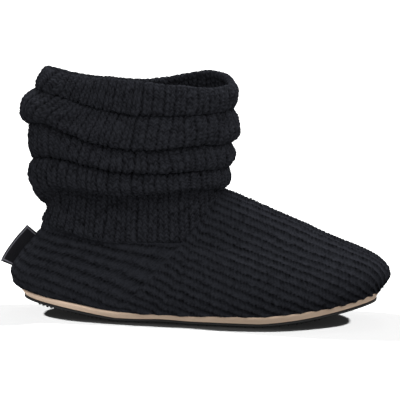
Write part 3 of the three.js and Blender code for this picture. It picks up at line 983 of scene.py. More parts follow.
@dataclass
class Vamp:
    """The knitted vamp: ribs that run from the ankle seam down the instep to the toe."""

    foot: Foot
    seams: Seams
    knit: RibKnit = WIDE_RIB
    slope: float = 26.5
    straightness: float = 0.75
    most_lowered: float = 6.0
    toe_share: float = 0.7
    grain: float = 0.75
    longest_slice: float = 132.0
    tip: float = 8.0
    tip_slices: int = 26
    ripple: float = 0.4
    seam_reach: float = 4.0
    # Between which distances from the ridge the ribs sink to the sides, and run out at the toe.
    flank: tuple[float, float] = (6.0, 36.0)
    toe_flank: tuple[float, float] = (2.0, 16.0)

    def build(self) -> bpy.types.Object:
        """Model the vamp by slicing the foot across the instep.

        Returns:
            The piece.
        """
        hem = np.linspace(-self.foot.hem_rows, 0, 4)[:-1]
        rows = np.concatenate([hem, np.linspace(0, 1, 150)])
        turns = np.concatenate([np.linspace(0, 0.1, 60), np.linspace(0.1, 0.5, 260)[1:]])
        sides = {
            Side.INNER: self._slices(rows, turns),
            Side.OUTER: self._slices(rows, 1 - turns),
        }
        return self._join(sides)

    def _direction(self) -> Array:
        """The ribs' direction down the instep."""
        angle = math.radians(self.slope)
        return np.array([math.cos(angle), 0.0, -math.sin(angle)])

    def _slices(self, rows: Array, turns: Array) -> tuple[Array, Array, Array]:
        """Slice one side of the foot square to the ribs.

        Args:
            rows: heights to read, from the feather edge up.
            turns: turns to read, from the front towards the back.

        Returns:
            Slice places along the ribs, points for each slice and step down from the ridge,
            and the length of each slice from ridge to feather edge.
        """
        grid = self.foot.upper(rows[:, None], turns[None, :])
        along = grid @ self._direction()
        front = along[:, 0]
        last = float(front.max()) - 0.05
        seam = self.foot.upper(rows, self.seams.turn(self.foot, rows))
        throat = float(along[-1, 0])
        first = min(float((seam @ self._direction()).min()), throat) - 2
        body, tip = np.arange(first, last - self.tip, self.grain), last - self.tip
        places = np.concatenate([body, np.linspace(tip, last, self.tip_slices)])
        steps = np.arange(0, self.longest_slice, self.grain)
        points = np.zeros((len(places), len(steps), 3))
        ends = np.zeros(len(places))
        for k, place in enumerate(places):
            line = []
            for i in range(len(rows) - 1, -1, -1):
                if front[i] < place:
                    continue
                j = int(np.argmax(along[i] < place))
                if j == 0:
                    continue
                span = along[i, j - 1] - along[i, j]
                t = (along[i, j - 1] - place) / span if span > 1e-9 else 0.0
                line.append(mix(grid[i, j - 1], grid[i, j], t))
            ridge, bottom = self._ends(grid[:, 0], front, place)
            if ridge is None:
                line = [*self._over_the_ankle(grid[-1, 0], place - throat, line[0]), *line]
            else:
                line = [ridge, *line]
            if bottom is not None:
                line.append(bottom)
            line = np.asarray(line)
            run = arc_lengths(line)
            ends[k] = run[-1]
            points[k] = read_line(line, run, steps)
        return places, points, ends

    def _over_the_ankle(self, throat: Array, back: float, seam: Array) -> Array:
        """Carry a slice on over the ankle's opening, so that its ribs keep their count.

        Args:
            throat: the upper's highest front point.
            back: how far behind the throat the slice lies along the ribs, below 0.
            seam: where the slice meets the ankle seam.

        Returns:
            Points on a quarter of an ellipse from the ridge's line down to the seam.
        """
        along = self._direction()
        down = np.array([along[2], 0.0, -along[0]])
        ridge = throat + along * back
        angle = np.linspace(0, np.pi / 2, 9)[:-1, None]
        drop, side = (seam - ridge) @ down, np.array([0.0, seam[1] - ridge[1], 0.0])
        return ridge + down * drop * (1 - np.cos(angle)) + side * np.sin(angle)

    def _ends(self, profile: Array, front: Array, place: float) -> tuple[Array | None, Array | None]:
        """Where a slice crosses the front profile, above and below.

        Args:
            profile: the front point of each row, from the feather edge up.
            front: the same points' places along the ribs.
            place: the slice's place.

        Returns:
            The ridge point and the point under the toe, or None where there is none.
        """
        ridge = bottom = None
        for i in range(len(front) - 1):
            low, high = front[i], front[i + 1]
            if (low - place) * (high - place) > 0 or low == high:
                continue
            point = mix(profile[i], profile[i + 1], (place - low) / (high - low))
            if high < low:
                ridge = point
            else:
                bottom = point
        return ridge, bottom

    def _join(self, sides: dict[Side, tuple[Array, Array, Array]]) -> bpy.types.Object:
        """Join both sides into one sheet across the ridge, raise its knit and cut it at the seams.

        Args:
            sides: the slices of each side.

        Returns:
            The piece.
        """
        places, inner, inner_ends = sides[Side.INNER]
        _, outer, outer_ends = sides[Side.OUTER]
        points = np.concatenate([outer[:, ::-1], inner[:, 1:]], axis=1)
        steps = np.arange(inner.shape[1]) * self.grain
        run = np.concatenate([-steps[::-1], steps[1:]])
        sign, reach = np.sign(run)[None, :], np.abs(run)[None, :]
        start = self._seam_places(places, points)
        clamped = np.maximum(places[:, None], start[None, :])
        cut = np.empty_like(points)
        for m in range(points.shape[1]):
            cut[:, m] = read_line(points[:, m], places, clamped[:, m])
        ends = np.where(sign < 0, outer_ends[:, None], inner_ends[:, None])
        r = sign * (np.minimum(reach, ends) + self._lowered(points, places, run, ends))
        u, v = r / self.knit.rib + 0.5, clamped / self.knit.stitch
        uv = self.knit.warped(u, v, 21)
        gap = clamped - start[None, :]
        height = self.knit.height(uv[..., 0], uv[..., 1]) * mix(SEAM_RELIEF, 1, ease(gap, 0, self.seam_reach))
        height = height + self.ripple * lattice_noise(v / 5, u / 2.6 + 9, 22) - KNIT_SINK
        height = mix(-SEAM_DEPTH, height * self.foot.hem_fade(ends - reach), ease(gap, 0, SEAM_WIDTH))
        ahead = places[:, None] > start[None, :] - self.grain
        reached = (reach < ends + self.grain) & ahead
        share = ease(cut[..., 2], *self.corner_heights) * (1 - ease(gap, 0, SEAM_WIDTH))
        sheet = Sheet("vamp_knit", cut, uv=uv)
        raised = sheet.raised(np.where(reached, height, 0), level=self._ankle_lean(cut), share=share)
        raised.points = np.where(reached[..., None], raised.points, cut)
        return self._close(raised, ahead, reached)

    @property
    def corner_heights(self) -> tuple[float, float]:
        """From which height to which the vamp's edge passes from the heel panel to the ankle."""
        return self.seams.heights[-1] - 2, self.seams.heights[-1] + 2

    def _ankle_lean(self, points: Array) -> Array:
        """Directions in which the ankle's knit moves out, where it lies as far across as each point."""
        half_ring = 360
        turns = np.linspace(0.5, 1.5, 2 * half_ring + 1)
        ring = self.foot.upper(np.ones_like(turns), turns)
        corner = np.argmin(np.abs(ring[:half_ring, 0] - self.seams.places[-1]))
        front = slice(corner, 2 * half_ring - corner)
        return self.foot.outward(np.interp(points[..., 1], ring[front, 1], turns[front]))

    def _close(self, sheet: Sheet, ahead: Array, reached: Array) -> bpy.types.Object:
        """Build the vamp with clean edges and a closed tip.

        Args:
            sheet: the raised sheet, whose points past the hem lie on the hem.
            ahead: True for each point in front of its rib line's seam.
            reached: True for each point of the vamp.

        Returns:
            The piece.
        """
        # The next points past an edge lie on it, so that the steps between the rib lines close.
        source = np.maximum(np.arange(len(ahead))[:, None], ahead.argmax(axis=0)[None, :])
        points = np.take_along_axis(sheet.points, source[..., None], axis=0)
        kept = reached.copy()
        kept[1:] |= reached[:-1]
        kept[:-1] |= reached[1:]
        kept[:, 1:] |= reached[:, :-1]
        kept[:, :-1] |= reached[:, 1:]
        # A last row in the middle of the last slice closes the tip of the toe.
        tip = np.broadcast_to(points[-1, reached[-1]].mean(axis=0), points[:1].shape)
        uv = np.concatenate([sheet.uv, sheet.uv[-1:]])
        closed = Sheet(sheet.name, np.concatenate([points, tip]), uv=uv)
        return closed.build(np.concatenate([kept, kept[-1:]]))

    def _lowered(self, points: Array, places: Array, run: Array, ends: Array) -> Array:
        """How much lower the ribs of the sides lie than their count from the ridge says.

        The foot widens and narrows again towards the toe, while its ribs run on nearly straight.

        Args:
            points: points for each slice and rib line.
            places: slice places along the ribs.
            run: distance of each rib line from the ridge, below 0 on the outer side.
            ends: distance of the feather edge from the ridge, for each slice and rib line.

        Returns:
            The shift in millimetres for each slice and rib line.
        """
        middle = points.shape[1] // 2
        along = self._direction()
        down = np.array([along[2], 0.0, -along[0]])
        slack = np.abs(run)[None, :] - (points - points[:, middle : middle + 1]) @ down
        throat = int(np.searchsorted(places, self.foot.upper(np.ones(1), np.zeros(1))[0] @ along))
        shift = np.zeros_like(slack)
        for side in (run < 0, run >= 0):
            flank = np.abs(np.abs(run)[None, side] - 0.7 * ends[:, side]).argmin(axis=1)
            roof = slack[:, side][np.arange(len(places)), flank]
            roof = np.convolve(np.pad(roof, 8, mode="edge"), np.ones(17) / 17, mode="valid")
            shift[:, side] = (roof[throat] - roof)[:, None]
        shift[:throat] = 0
        lowered = self.most_lowered * np.tanh(self.straightness * shift / self.most_lowered)
        # At the blunt toe the ridge falls away, and the ribs beside it run out to the edge.
        fallen = np.maximum((points[:, middle] - points[throat, middle]) @ down, 0)[:, None]
        reach = np.abs(run)[None, :]
        return lowered * ease(reach, *self.flank) + self.toe_share * fallen * ease(reach, *self.toe_flank)

    def _seam_places(self, places: Array, points: Array) -> Array:
        """Where each rib line starts: on the ankle seam or on the heel panel's seam.

        Args:
            places: slice places along the ribs.
            points: points for each slice and rib line.

        Returns:
            The place along the ribs at which each line leaves the seam.
        """
        row = np.linspace(0, 1, 200)
        turn = self.seams.turn(self.foot, row)
        side = self.foot.upper(row, turn)
        corner = float(turn[-1])
        front = self.foot.upper(np.ones(200), np.linspace(corner, 1.0, 200))
        line = np.vstack([side, front[1:]])
        # The seam in a side view: how far back it lies at each height.
        order = np.argsort(line[:, 2])
        ahead = points[..., 0] - np.interp(points[..., 2], line[order, 2], line[order, 0])
        starts = np.full(points.shape[1], places[0])
        for m in range(points.shape[1]):
            behind = np.nonzero(ahead[:, m] < 0)[0]
            if len(behind) and behind[-1] + 1 < len(places):
                k = behind[-1]
                t = -ahead[k, m] / max(ahead[k + 1, m] - ahead[k, m], 1e-9)
                starts[m] = mix(places[k], places[k + 1], min(max(t, 0), 1))
        return starts


@dataclass
class Shaft:
    """The slouched shaft: ankle, folds and the turned-in collar, with ribs that run up it."""

    foot: Foot
    knit: RibKnit = RibKnit(rib=3.9, stitch=2.9, rib_depth=1.4, stitch_depth=0.9, paired=0.4)
    ribs: int = 88
    grain: float = 0.75
    hem_wall: float = 5.0
    hem_depth: float = 26.0
    side_seam_turn: float = 0.762
    side_seam_depth: float = 1.1
    side_seam_width: float = 1.0
    rim_steps: int = 12
    ripple: float = 0.5
    knit_sink: float = 0.6
    # From which level to which the knit slips, and the slip's place, spread and size in ribs.
    slips: tuple[tuple[float, ...], ...] = (
        (1.0, 2.0, 0.63, 0.06, 0.9),
        (2.1, 3.0, 0.68, 0.07, 1.1),
        (3.0, 4.0, 0.64, 0.08, 2.2),
        (4.0, 5.0, 0.6, 0.1, 1.0),
    )

    def _turns(self) -> Array:
        """Turns that share out the ring's length evenly, so that all ribs are as wide."""
        fine = np.linspace(0, 1, 1441)
        rings = [self.foot.shaft(np.full_like(fine, level), fine) for level in (1, 3, 5)]
        length = sum(arc_lengths(ring) for ring in rings)
        return np.interp(np.linspace(0, length[-1], self.ribs * 5 + 1), length, fine)

    def _levels(self) -> Array:
        """Levels that share out the height of the outer face evenly, from the ankle seam up."""
        fine = np.linspace(0, 5, 2001)
        lines = [self.foot.shaft(fine, np.full_like(fine, turn)) for turn in (0.3, 0.5, 0.75)]
        length = sum(arc_lengths(line) for line in lines) / len(lines)
        return np.interp(np.arange(0, length[-1], self.grain), length, fine)

    def _lean(self, level: Array, turn: Array) -> Array:
        """How many ribs the knit has slipped round the leg, where the slouch drags it askew.

        Args:
            level: as in Foot.shaft.
            turn: place round the ring.

        Returns:
            The slip in ribs, the other way round on the inner side.
        """
        slip = 0.0
        for start, end, place, spread, ribs in self.slips:
            outer, inner = (turn - place) / spread, (1 - turn - place) / spread
            slip = slip + ribs * (np.exp(-(outer**2)) - np.exp(-(inner**2))) * ease(level, start, end)
        return slip

    def _rim(self, outer: Array) -> Array:
        """Rows over the rim and down inside the turned-in hem.

        Args:
            outer: the outer face's rows.

        Returns:
            More rows, from the rim's outer edge to the hem's end inside.
        """
        normals = Sheet("", outer, closed=True).normals()
        normal = normals[-1]
        up = unit(outer[-1] - outer[-4])
        centre = outer[-1] - normal * self.hem_wall / 2
        angles = np.linspace(0, np.pi, self.rim_steps + 1)[1:, None, None]
        rim = centre + self.hem_wall / 2 * (normal * np.cos(angles) + up * np.sin(angles))
        down = np.arange(self.grain, self.hem_depth, self.grain)
        run = arc_lengths(outer[::-1], axis=0).mean(axis=1)
        level = len(outer) - 1 - np.interp(down, run, np.arange(len(outer)))
        low = np.floor(level).astype(int)
        share = (level - low)[:, None, None]
        face = mix(outer[low], outer[low + 1], share)
        return np.concatenate([rim, face - mix(normals[low], normals[low + 1], share) * self.hem_wall])

    def build(self) -> list[bpy.types.Object]:
        """Model the knitted shaft in three pieces: ankle, folds and collar.

        Returns:
            The pieces.
        """
        turn, level = self._turns(), self._levels()
        outer = self.foot.shaft(level[:, None], turn[None, :])
        points = np.concatenate([outer, self._rim(outer)])
        run = arc_lengths(points, axis=0)
        around = np.linspace(0, self.ribs, len(turn))
        v = mix(run, run.mean(axis=1)[:, None], 0.5) / self.knit.stitch
        inside = np.full(len(points) - len(level), 5.0)
        u = around[None, :] - self._lean(np.concatenate([level, inside])[:, None], turn[None, :])
        uv = self.knit.warped(u, v, 31, period=self.ribs // 2)
        height = self.knit.height(uv[..., 0], uv[..., 1])
        top = len(level)
        over_rim = np.zeros(len(points))
        over_rim[top - 4 : top + self.rim_steps + 2] = 1
        over_rim = np.convolve(over_rim, np.ones(7) / 7, mode="same")
        height = mix(height, self.knit.rib_depth * 0.6, 0.55 * over_rim[:, None])
        # The side seam is the deep groove between two pairs of ribs that lies nearest to its turn.
        seam_rib = 2 * round(float(np.interp(self.side_seam_turn, turn, around)) / 2)
        from_seam = (u - seam_rib) * self.knit.rib / self.side_seam_width
        height = height - self.side_seam_depth * np.exp(-(from_seam**2))
        waves = lattice_noise(u / 4, v / 3.1, 32, period=self.ribs // 4)
        height = height + self.ripple * waves - self.knit_sink
        height = mix(-SEAM_DEPTH, height, ease(run, 0, SEAM_WIDTH))
        sheet = Sheet("shaft", points, closed=True, uv=uv)
        out = np.broadcast_to(self.foot.outward(turn)[None], points.shape)
        raised = sheet.raised(height, level=out, share=1 - ease(run, 0, SEAM_WIDTH))
        raised.points[:, -1] = raised.points[:, 0]
        cuts = [0, int(np.searchsorted(level, 1.0)), int(np.searchsorted(level, 4.0)), len(points) - 1]
        pieces = []
        for name, low, high in zip(("ankle_knit", "fold_knit", "collar_knit"), cuts[:-1], cuts[1:]):
            part = slice(low, high + 1)
            pieces.append(Sheet(name, raised.points[part], uv=raised.uv[part], closed=True).build())
        return pieces


@dataclass
class Fuzz:
    """Loose fibres that stand off the yarn all over the knit, each a thin bent spike."""

    count: int = 7500
    length: float = 2.6
    width: float = 0.13
    seed: int = 17

    def build(self, name: str, knits: list[bpy.types.Object]) -> bpy.types.Object:
        """Grow the fibres on knitted pieces.

        Args:
            name: the name of the new piece.
            knits: the pieces that they grow on.

        Returns:
            One object that holds all the fibres.
        """
        chance = np.random.default_rng(self.seed)
        roots, normals = self._roots(knits, chance)
        side = unit(np.cross(normals, chance.normal(size=normals.shape)))
        across = np.cross(normals, side)
        long = self.length * chance.uniform(0.45, 1.0, (len(roots), 1)) * MM
        middle = roots + normals * long * 0.35 + side * long * chance.uniform(0.1, 0.45, long.shape)
        tip = middle + normals * long * chance.uniform(-0.05, 0.3, long.shape) + side * long * 0.5
        spokes = [side * math.cos(a) + across * math.sin(a) for a in (0, math.tau / 3, 2 * math.tau / 3)]
        half = self.width / 2 * MM
        base = [roots - normals * 0.3 * MM + spoke * half for spoke in spokes]
        waist = [middle + spoke * half * 0.8 for spoke in spokes]
        faces = [(0, 2, 1)]
        for i in range(3):
            j = (i + 1) % 3
            faces += [(i, j, 3 + j, 3 + i), (3 + i, 3 + j, 6)]
        piece = repeated(name, np.stack([*base, *waist, tip], axis=1), faces)
        bpy.ops.object.mode_set(mode="EDIT")
        bpy.ops.mesh.select_all(action="SELECT")
        bpy.ops.mesh.normals_make_consistent(inside=False)
        bpy.ops.object.mode_set(mode="OBJECT")
        return piece

    def _roots(self, knits: list[bpy.types.Object], chance: np.random.Generator) -> tuple[Array, Array]:
        """Places and normals of the fibres' roots, spread evenly over the pieces' area.

        Args:
            knits: the pieces.
            chance: the source of random numbers.

        Returns:
            Points in metres and unit normals.
        """
        centres, normals, areas = [], [], []
        for knit in knits:
            count = len(knit.data.polygons)
            for values, name, width in ((centres, "center", 3), (normals, "normal", 3), (areas, "area", 1)):
                data = np.empty(count * width, np.float32)
                knit.data.polygons.foreach_get(name, data)
                values.append(data.reshape(count, width) if width > 1 else data)
        area = np.concatenate(areas).astype(float)
        picks = chance.choice(len(area), self.count, replace=False, p=area / area.sum())
        return np.concatenate(centres)[picks].astype(float), np.concatenate(normals)[picks].astype(float)


@dataclass
class Lining:
    """The fleece inside the foot and the shaft, from the hem's end down to the footbed."""

    foot: Foot
    wall: float = 3.0
    turned_in: float = 9.0
    foot_rings: int = 44
    shaft_rings: int = 100

    def build(self) -> bpy.types.Object:
        """Model the lining as one sheet inside both walls, turned in under the footbed.

        Returns:
            The piece.
        """
        foot = self.foot
        turn = np.linspace(0, 1, 181)
        row = np.linspace(foot.hang_rows, 1, self.foot_rings)
        level = np.linspace(0.05, 4.75, self.shaft_rings)
        low = foot.upper(row[:, None], turn[None, :])
        high = foot.shaft(level[:, None], turn[None, :])
        sheet = Sheet("lining", np.concatenate([low, high]), closed=True)
        inner = sheet.raised(np.full(sheet.points.shape[:2], -self.wall), smooth=1)
        lift = foot.seat_lift(foot.ring(turn)[0])
        long, wide = foot.seat_outline
        rings = []
        for inset, height in ((self.turned_in, -foot.glue_gap / 3), (self.wall, 0.3)):
            rings.append(foot.sole(long - inset, wide - inset, foot.seat + height, turn, lift)[None])
        inner.points = np.concatenate([*rings, inner.points])[::-1]
        return inner.build()


def quarter_round(radius: float, start: float, end: float, count: int) -> list[tuple[float, float]]:
    """Distances in and down from a square corner to its rounding, from start to end of its arc."""
    angles = np.linspace(start, end, count) * np.pi / 2
    return [(radius * (1 - math.sin(angle)), radius * (1 - math.cos(angle))) for angle in angles]


@dataclass
class Footbed:
    """The soft footbed: a padded board under fleece, with a slightly hollow heel."""

    foot: Foot
    thickness: float = 4.0
    clearance: float = 4.2
    crown: float = 0.8
    rounding: float = 1.2

    def build(self) -> bpy.types.Object:
        """Model the footbed from its middle line out, over its edge and under.

        Returns:
            The piece.
        """
        foot = self.foot
        turn = np.linspace(0, 1, 181)
        long, wide = (half - self.clearance for half in foot.seat_outline)
        lift = foot.seat_lift(foot.ring(turn)[0])
        base = foot.seat + 0.1
        rows = []
        for share in np.linspace(0.02, 0.97, 16):
            height = base + self.thickness - self.crown * (1 - share**2)
            rows.append(foot.sole(long, wide * share, height, turn, lift))
        for inset, fall in quarter_round(self.rounding, 0.2, 1.0, 5):
            rows.append(foot.sole(long - inset, wide - inset, base + self.thickness - fall, turn, lift))
        rows.append(foot.sole(long, wide, base, turn, lift))
        rows.append(foot.sole(long, 0.0, base, turn, lift))
        return Sheet("footbed", np.asarray(rows)[::-1], closed=True).build()


@dataclass
class Midsole:
    """The foam midsole: a thin wedge with leaning sides and softly rounded edges."""

    foot: Foot
    taper: float = 2.5
    rounding: float = 1.0
    top_rounding: float = 0.8

    def build(self) -> bpy.types.Object:
        """Model the midsole from the middle of its underside out, up and back in.

        Returns:
            The piece.
        """
        foot = self.foot
        turn = np.linspace(0, 1, 361)
        along, _, _ = foot.ring(turn)
        long = foot.slipper_length / 2 - foot.sole_end_inset
        wide = foot.ball_width / 2 - foot.sole_side_inset
        bottom, top = foot.outsole_thickness, foot.outsole_thickness + foot.midsole_thickness
        low, high = foot.sole_lift(along), foot.seat_lift(along)
        rows = [foot.sole(long - self.taper - 1.5, 0.0, bottom, turn, low)]
        for inset, climb in quarter_round(self.rounding, 0, 1, 5):
            inset += self.taper
            rows.append(foot.sole(long - inset, wide - inset, bottom + climb, turn, low))
        for share, lean in ((0.35, 0.62), (0.6, 0.36), (0.8, 0.0)):
            inset = self.taper * lean
            lift = mix(low, high, share)
            rows.append(foot.sole(long - inset, wide - inset, mix(bottom, top, share), turn, lift))
        for fall, inset in quarter_round(self.top_rounding, 0.25, 1, 4):
            rows.append(foot.sole(long - inset, wide - inset, top - fall, turn, high))
        rows.append(foot.sole(long - 1.5, 0.0, top, turn, high))
        return Sheet("midsole_foam", np.asarray(rows), closed=True).build()


@dataclass
class Outsole:
    """The rubber outsole: a thin sheet with rows of small round nubs under it."""

    foot: Foot
    inset: float = 2.2
    sheet_base: float = 1.1
    nub_pitch: float = 3.4
    nub_radius: float = 0.95
    nub_end: float = 0.7
    nub_sides: int = 6
    nub_row: float = 0.87
    # How far the nubs stand back from the edge, at the heel and elsewhere.
    heel_margin: float = 0.9
    side_margin: float = 3.2

    def build(self) -> bpy.types.Object:
        """Model the sheet, then one nub, and join the nub's copies to the sheet.

        Returns:
            The piece.
        """
        foot = self.foot
        turn = np.linspace(0, 1, 361)
        along, _, _ = foot.ring(turn)
        lift = foot.sole_lift(along)
        long = foot.slipper_length / 2 - foot.sole_end_inset - self.inset
        wide = foot.ball_width / 2 - foot.sole_side_inset - self.inset
        top = foot.outsole_thickness - 0.25
        rows = [foot.sole(long - 0.6, 0.0, self.sheet_base, turn, lift)]
        for inset, climb in ((0.6, 0.0), (0.15, 0.25), (0, 0.6)):
            rows.append(foot.sole(long - inset, wide - inset, self.sheet_base + climb, turn, lift))
        rows.append(foot.sole(long, wide, top, turn, lift))
        rows.append(foot.sole(long - 0.6, 0.0, top, turn, lift))
        plate = Sheet("outsole_rubber", np.asarray(rows), closed=True).build()
        nubs = self._nubs(long, wide)
        select_only(plate, nubs)
        bpy.ops.object.join()
        return plate

    def _nub(self) -> tuple[Array, list[tuple[int, ...]]]:
        """One nub, pointing down from its root at z = 0.

        Returns:
            Its points in millimetres and its faces.
        """
        angles = np.arange(self.nub_sides) * 2 * np.pi / self.nub_sides
        circle = np.stack([np.cos(angles), np.sin(angles)], axis=-1)
        points = []
        for radius, depth in ((1.15, 0.35), (1.0, -0.4), (0.82, -0.88), (0.45, -1.1)):
            ring = circle * self.nub_radius * radius
            points += [(x, y, depth) for x, y in ring]
        n = self.nub_sides
        faces = []
        for level in range(3):
            for i in range(n):
                a, b = level * n + i, level * n + (i + 1) % n
                faces.append((a, a + n, b + n, b))
        faces.append(tuple(3 * n + i for i in range(n))[::-1])
        return np.asarray(points), faces

    def _nubs(self, long: float, wide: float) -> bpy.types.Object:
        """Copies of the nub over the whole underside, in staggered rows.

        Args:
            long: half the sheet's length.
            wide: half its width at the ball.

        Returns:
            One object that holds all copies.
        """
        foot = self.foot
        shape, faces = self._nub()
        nubs = []
        columns = int(long / self.nub_pitch) + 1
        for i in range(-columns, columns + 1):
            x = i * self.nub_pitch * self.nub_row
            along = x / long
            if abs(x) > long - self.heel_margin or along > self.nub_end:
                continue
            across = (1 - along**2) ** (foot.end_fullness / 2)
            margin = float(mix(self.side_margin, self.heel_margin, ease(-along, 0.4, 0.6)))
            half = foot.print.half_width(np.full(2, (1 + along) / 2), np.array([-1.0, 1.0]))
            outer, inner = wide * across * half - margin
            lift = float(foot.sole_lift(np.array([along]))[0])
            count = int(max(outer, inner) / self.nub_pitch) + 2
            for j in range(-count, count + 1):
                y = (j + 0.5 * (i % 2)) * self.nub_pitch
                if -outer < y < inner:
                    nubs.append(shape + (x + foot.origin[0], y + foot.origin[1], self.sheet_base + lift))
        piece = repeated("nubs", np.asarray(nubs) * MM, faces)
        bpy.ops.object.shade_smooth()
        return piece


@dataclass
class HeelTab:
    """The ribbon tab in the back seam: one strip folded in half, its fold outwards, left plain."""

    foot: Foot
    length: float = 29.0
    reach: float = 9.3
    height: float = 24.0
    leaf: float = 0.55
    gap: float = 0.25
    tuck: float = 1.5
    sway: float = 0.9
    steps: int = 40

    @property
    def cut_length(self) -> float:
        """Length of the strip before it was folded, from one end in the seam to the other."""
        half = self.leaf + self.gap / 2
        return 2 * (self.reach - half + self.tuck) + math.pi * half

    def build(self) -> bpy.types.Object:
        """Model the folded strip along the heel's back line.

        Returns:
            The piece.
        """
        rows = np.linspace(0, 1, 600)
        spine = self.foot.upper(rows, np.full_like(rows, 0.5))
        run = arc_lengths(spine)
        lowest = self.foot.outsole_thickness + self.foot.midsole_thickness + self.height
        start = run[int(np.argmax(spine[:, 2] >= lowest))]
        places = start + np.linspace(0, self.length, self.steps)
        line = read_line(spine, run, places)
        along = unit(np.gradient(line, axis=0))
        out = np.stack([-along[:, 2], np.zeros(len(along)), along[:, 0]], axis=-1)
        bend = self.sway * np.sin(np.linspace(0, 2.6, self.steps) + 0.4)
        points, coords = [], []
        for depth, side in self._section():
            row = line + out * depth
            row[:, 1] += side + bend * (depth / self.reach) ** 2
            points.append(row)
            coords.append(np.stack([np.full(self.steps, depth), places - start], axis=-1))
        piece = Sheet("heel_tab_ribbon", np.asarray(points), uv=np.asarray(coords)).build()
        select_only(piece)
        solid = piece.modifiers.new("ribbon", "SOLIDIFY")
        solid.thickness = self.leaf * MM
        solid.offset = -1
        bpy.ops.object.modifier_apply(modifier=solid.name)
        return piece

    def _section(self) -> list[tuple[float, float]]:
        """The folded strip's section: distance out from the heel and distance to the side."""
        half = self.leaf + self.gap / 2
        turned = self.reach - half
        leaf = np.linspace(-self.tuck, turned, 14)
        fold = [(turned + half * math.cos(a), half * math.sin(a)) for a in np.linspace(-1.2, 1.2, 9)]
        return [(d, -half) for d in leaf] + fold + [(d, half) for d in leaf[::-1]]


@dataclass
class Studio:
    """A white floor, soft light from above and the front, and the long-lens camera."""

    yaw: float = 6.5
    elevation: float = 8.4
    roll: float = -0.6
    pixels_per_mm: float = 1.446
    target_pixel: tuple[float, float] = (194.1, 202.4)
    target: tuple[float, float, float] = (0.0, 0.0, 80.0)
    distance: float = 2300.0
    frame_pixels: float = 400.0
    sky: float = 0.7
    overhead: float = 1.4
    backdrop: float = 1.6
    floor_light: float = 120.0
    side_rise: float = 0.85
    floor_grey: float = 0.035
    floor_glow: float = 0.012

    def build(self) -> None:
        """Make the camera, the lights and the floor."""
        self._camera()
        self._floor()
        self._world()
        self._sun("back_top", (0.1, 0.6, 1.6), 16.0, 2.5)
        self._sun("front_right", (0.5, -1.0, 0.7), 40.0, 1.7)
        # Two side lights fall on the floor alone. Each would do to make it white, so only the
        # floor that neither reaches is dark, which is the shoe's crisp shadow. The floor throws
        # the light of one of them back up at the shoe.
        lit = bpy.data.collections.new("lit_by_sides")
        lit.objects.link(bpy.data.objects["floor"])
        for name, across, bounces in (("floor_left", -1.0, 1), ("floor_right", 1.0, 0)):
            light = self._sun(name, (across, 0.18, self.side_rise), 4.0, self.floor_light)
            light.light_linking.receiver_collection = lit
            light.data.cycles.max_bounces = bounces

    def _camera(self) -> None:
        """Place the camera so that the target lands on its pixel of the frame."""
        yaw, high, roll = (math.radians(a) for a in (self.yaw, self.elevation, self.roll))
        right = Vector((math.cos(yaw), math.sin(yaw), 0))
        ahead = Vector((-right.y * math.cos(high), right.x * math.cos(high), -math.sin(high)))
        up = right.cross(ahead)
        turned = right * math.cos(roll) - up * math.sin(roll)
        upright = right * math.sin(roll) + up * math.cos(roll)
        middle = self.frame_pixels / 2
        slip = turned * (middle - self.target_pixel[0]) + upright * (self.target_pixel[1] - middle)
        aim = Vector(self.target) + slip / self.pixels_per_mm
        data = bpy.data.cameras.new("camera")
        data.sensor_width = 36.0
        data.lens = data.sensor_width * self.pixels_per_mm * self.distance / self.frame_pixels
        data.clip_end = 100
        camera = bpy.data.objects.new("camera", data)
        axes = Matrix((turned, upright, -ahead)).transposed()
        camera.matrix_world = Matrix.Translation((aim - ahead * self.distance) * MM) @ axes.to_4x4()
        bpy.context.scene.collection.objects.link(camera)
        bpy.context.scene.camera = camera

    def _floor(self) -> None:
        """A wide matt floor, which the lights bring up to white."""
        bpy.ops.object.select_all(action="DESELECT")
        bpy.ops.mesh.primitive_plane_add(size=60, location=(0, 0, 0))
        floor = bpy.context.object
        floor.name = floor.data.name = "floor"
        material = blank_material("matt_paper_sweep")
        # A faint glow stands for the light that a real room throws under the shoe.
        settings = {
            "Base Color": (self.floor_grey, self.floor_grey, self.floor_grey, 1),
            "Roughness": 1.0,
            "Specular IOR Level": 0.0,
            "Emission Color": linear("ffffff"),
            "Emission Strength": self.floor_glow,
        }
        node(material, "OutputMaterial", (node(material, "BsdfPrincipled", settings),))
        floor.data.materials.append(material)

    def _world(self) -> None:
        """White light from all round, strongest overhead, as under a large soft box."""
        world = bpy.data.worlds.new("studio")
        world.use_nodes = True
        world.node_tree.nodes.clear()
        facing = node(world, "TexCoord").outputs["Generated"]
        _, deep, high = node(world, "SeparateXYZ", (facing,)).outputs
        above = node(world, "Math", (high, 0.0), operation="MAXIMUM")
        squared = node(world, "Math", (above, 2.0), operation="POWER")
        glow = node(world, "Math", (squared, self.overhead, 1.0), operation="MULTIPLY_ADD")
        # The backdrop shines too, and gives the wool its pale outline.
        behind = node(world, "Math", (deep, 0.0), operation="MAXIMUM")
        glow = node(world, "Math", (behind, self.backdrop, glow), operation="MULTIPLY_ADD")
        background = node(world, "Background", {"Color": (self.sky, self.sky, self.sky, 1), "Strength": glow})
        node(world, "OutputWorld", (background,))
        bpy.context.scene.world = world
        bpy.context.scene.view_settings.view_transform = "Standard"

    def _sun(
        self, name: str, place: tuple[float, float, float], spread: float, strength: float
    ) -> bpy.types.Object:
        """Add a distant soft light that shines towards the shoe.

        Args:
            name: the light's name.
            place: the direction that it comes from.
            spread: how wide it looks, in degrees.
            strength: its irradiance.

        Returns:
            The light.
        """
        data = bpy.data.lights.new(name, "SUN")
        data.angle, data.energy = math.radians(spread), strength
        light = bpy.data.objects.new(name, data)
        light.location = place
        light.rotation_euler = (-Vector(place)).to_track_quat("-Z", "Y").to_euler()
        bpy.context.scene.collection.objects.link(light)
        return light


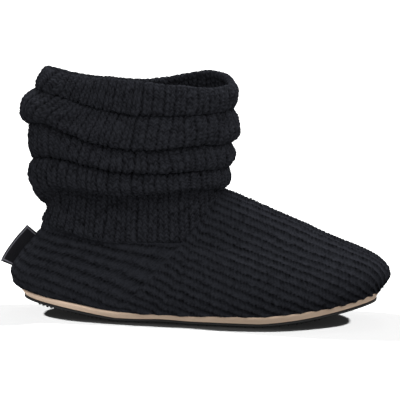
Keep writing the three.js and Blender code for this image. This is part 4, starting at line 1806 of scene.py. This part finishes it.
@dataclass
class Slipper:
    """The whole slipper, piece by piece from the floor up."""

    foot: Foot = field(default_factory=Foot)
    seams: Seams = field(default_factory=Seams)

    def fit(self) -> None:
        """Set the foot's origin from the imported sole, whose middle is the last's own."""
        low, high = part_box("midsole")
        tab_low, tab_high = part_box("heel_tab")
        self.foot.origin = ((low[0] + high[0]) / 2 / MM, (tab_low[1] + tab_high[1]) / 2 / MM)

    def build(self) -> None:
        """Build and dress every piece."""
        foot = self.foot
        rubber = MouldedRubber().material("moulded_rubber")
        finish_piece(Outsole(foot).build(), rubber, "black_rubber", "outsole")
        foam = MouldedFoam().material("moulded_eva_foam")
        finish_piece(Midsole(foot).build(), foam, "beige_foam", "midsole")
        fleece = Fleece().material("brushed_jersey")
        footbed = Footbed(foot).build()
        finish_piece(footbed, fleece, "lining", "insole")
        wide_rib = WoolKnit(
            yarn="1f2024", loop_lean=0.9, leg_depth=0.5, chance=0.14, fibre_size=0.8, speckle=1.1
        ).material("wide_rib_wool_knit")
        foot_knits = [HeelPanel(foot, self.seams).build(), Vamp(foot, self.seams).build()]
        for piece in foot_knits:
            finish_piece(piece, wide_rib, "black_knit", "upper")
        shaft = Shaft(foot)
        paired_rib = WoolKnit(paired=shaft.knit.paired).material("paired_rib_wool_knit")
        shaft_knits = shaft.build()
        for piece in shaft_knits:
            finish_piece(piece, paired_rib, "black_knit", "shaft")
        fibre = LooseFibre().material("loose_wool_fibre")
        finish_piece(Fuzz(seed=17).build("foot_fuzz", foot_knits), fibre, "black_knit", "upper")
        finish_piece(Fuzz(seed=18).build("shaft_fuzz", shaft_knits), fibre, "black_knit", "shaft")
        finish_piece(Lining(foot).build(), fleece, "lining", "upper", "shaft")
        ribbon = WovenRibbon().material("woven_ribbon")
        tab = HeelTab(foot)
        strip = tab.build()
        finish_piece(strip, ribbon, "woven_ribbon", "heel_tab")


def main() -> None:
    """Load the frame, then build the slipper and its studio."""
    logging.basicConfig(level=logging.INFO, format="%(name)s %(message)s")
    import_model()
    Studio().build()
    slipper = Slipper()
    slipper.fit()
    slipper.build()


if __name__ == "__main__":
    main()
